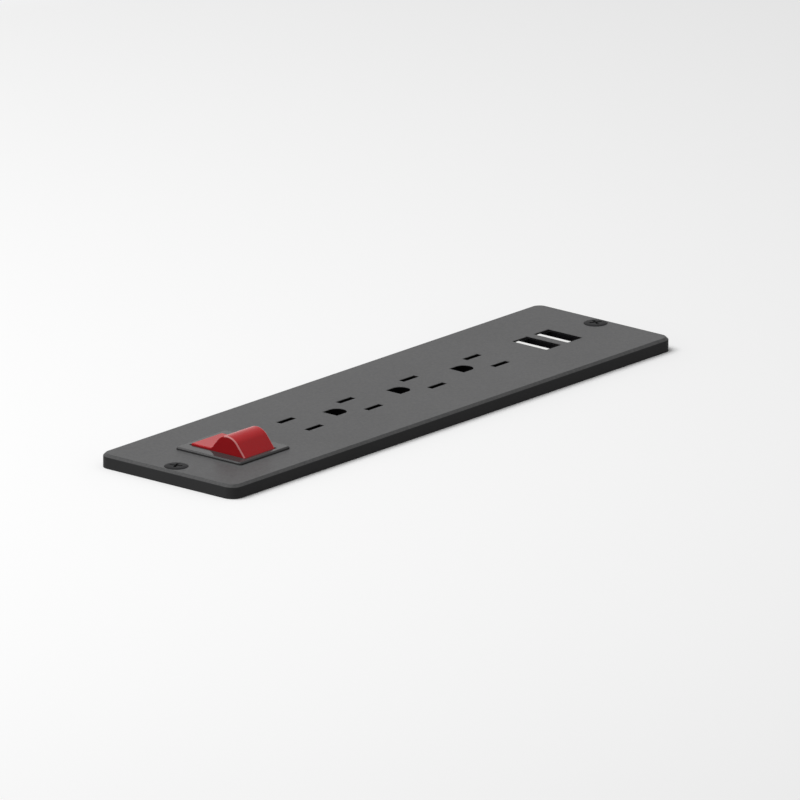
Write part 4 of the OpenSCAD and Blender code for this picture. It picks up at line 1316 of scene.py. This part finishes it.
@dataclass
class Studio:
    """The floor, the light and the camera."""

    layout: Layout
    floor_size: Pair = (1280.0, 1110.0)
    floor_z: float = -0.02
    tub_gap: float = 0.1
    tub_corner: float = 4.0
    tub_steps: int = 6
    fade_mm: Pair = (415.0, 515.0)
    floor_seen: float = 0.985
    floor_bounce: float = 0.15
    sky: float = 0.35
    lamp_w: float = 18.0
    lamp_size: float = 1.2
    lamp_at: Triple = (-0.5, 0.45, 1.35)
    azimuth_deg: float = -49.6
    elevation_deg: float = 16.9
    points_per_mm: float = 2.912
    middle_seen: Pair = (387.5, 394.0)
    image: float = 800.0
    lens_mm: float = 1400.0
    sensor_mm: float = 36.0
    clip_m: Pair = (0.1, 100.0)

    def _seen(self, graph: Graph, ends: Pair) -> Socket:
        """Adds a value that differs for rays that look, mirror or pass through glass.

        Args:
            graph: The nodes.
            ends: The value for other rays, and the value for these.

        Returns:
            The value.
        """
        seen = graph.add("LightPath", "Is Camera Ray")
        path = seen.node.outputs
        for name in ("Is Glossy Ray", "Is Transmission Ray"):
            seen = graph.add("Math", "Value", {0: seen, 1: path[name]}, operation="MAXIMUM")
        return graph.add("MapRange", "Result", {"Value": seen, "To Min": ends[0], "To Max": ends[1]})

    def _world(self) -> None:
        """Sets a plain pale surround that is white where it is seen."""
        world = bpy.data.worlds.new("surround")
        graph = Graph(world)
        strength = self._seen(graph, (self.sky, 1.0))
        white = (1.0, 1.0, 1.0, 1.0)
        graph.set(graph.tree.nodes["Background"], {"Color": white, "Strength": strength})
        bpy.context.scene.world = world

    def _reach(self, graph: Graph) -> Socket:
        """Adds the distance from the plate's outline, in metres.

        Args:
            graph: The nodes.

        Returns:
            The distance.
        """
        place = graph.add("TexCoord", "Object")
        spot = graph.add("SeparateXYZ", "X", {"Vector": place}).node.outputs
        past: Inputs = {}
        for axis, side in zip("XY", self.layout.plate):
            size = graph.add("Math", "Value", {0: spot[axis]}, operation="ABSOLUTE")
            over = graph.add("Math", "Value", {0: size, 1: side / 2 * MM}, operation="SUBTRACT")
            past[axis] = graph.add("Math", "Value", {0: over, 1: 0.0}, operation="MAXIMUM")
        beyond = graph.add("CombineXYZ", "Vector", past)
        return graph.add("VectorMath", "Value", {0: beyond}, operation="LENGTH")

    def _paint(self) -> bpy.types.Material:
        """Makes the floor's pale paint, which fades out far from the strip.

        Returns:
            The material.
        """
        paint = bpy.data.materials.new("studio_floor")
        graph = Graph(paint)
        nodes = graph.tree.nodes
        nodes.remove(nodes["Principled BSDF"])
        tint = self._seen(graph, (self.floor_bounce, self.floor_seen))
        matt = graph.add("BsdfDiffuse", "BSDF", {"Color": tint})
        clear = graph.add("BsdfTransparent", "BSDF")
        start, end = (place * MM for place in self.fade_mm)
        fade = graph.add(
            "MapRange", "Result", {"Value": self._reach(graph), "From Min": start, "From Max": end},
            interpolation_type="SMOOTHSTEP",
        )
        mix = graph.add("MixShader", "Shader", {"Fac": fade, 1: matt, 2: clear})
        graph.set(nodes["Material Output"], {"Surface": mix})
        return paint

    def _floor(self) -> None:
        """Lays a pale floor round the tub that fades out into the surround."""
        shape, middle = Shape(), (0.0, 0.0, self.floor_z)
        edges = shape.open_face(shape.rectangle(self.floor_size, middle))
        cut = grown(self.layout.tub[:2], self.tub_gap)
        edges += shape.open_face(shape.rounded(cut, self.tub_corner, self.tub_steps, middle))
        shape.fill(edges)
        floor = shape.piece("studio_floor", [])
        floor.data.materials.append(self._paint())

    def _lamp(self) -> None:
        """Hangs a broad soft lamp above."""
        data = bpy.data.lights.new("softbox", "AREA")
        data.shape = "SQUARE"
        data.size = self.lamp_size
        data.energy = self.lamp_w
        lamp = bpy.data.objects.new("softbox", data)
        lamp.location = self.lamp_at
        lamp.rotation_euler = (-Vector(self.lamp_at)).to_track_quat("-Z", "Y").to_euler()
        bpy.context.scene.collection.objects.link(lamp)

    def _camera(self) -> None:
        """Sets a long lens at the picture's angle."""
        turn, lift = math.radians(self.azimuth_deg), math.radians(self.elevation_deg)
        level = math.cos(lift)
        back = Vector((math.sin(turn) * level, -math.cos(turn) * level, math.sin(lift)))
        right = Vector((math.cos(turn), math.sin(turn), 0.0))
        up = back.cross(right)
        point = MM / self.points_per_mm
        aside, below = ((self.image / 2 - seen) * point for seen in self.middle_seen)
        aim = Vector((0.0, 0.0, self.layout.plate[2] * MM)) + right * aside - up * below
        data = bpy.data.cameras.new("view")
        data.sensor_width = self.sensor_mm
        data.lens = self.lens_mm
        data.clip_start, data.clip_end = self.clip_m
        camera = bpy.data.objects.new("view", data)
        camera.location = aim + back * (self.lens_mm * self.image / self.sensor_mm * point)
        camera.rotation_euler = back.to_track_quat("Z", "Y").to_euler()
        bpy.context.scene.collection.objects.link(camera)
        bpy.context.scene.camera = camera

    def build(self) -> None:
        """Sets up the whole studio."""
        bpy.context.scene.view_settings.view_transform = "Standard"
        self._world()
        self._floor()
        self._lamp()
        self._camera()
        log.info("studio: lens %.0f mm", self.lens_mm)


def main() -> None:
    """Builds the studio and every piece in order."""
    logging.basicConfig(level=logging.INFO, format="%(name)s %(message)s")
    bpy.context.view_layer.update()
    layout = Layout.read()
    form = RockerForm.of(layout)
    Studio(layout).build()
    Faceplate(layout).build()
    RearHousing(layout).build()
    MountingScrews(layout).build()
    SwitchHousing(layout, form).build()
    Rocker(layout, form).build()
    UsbPorts(layout).build()
    Inside().dress()


if __name__ == "__main__":
    main()
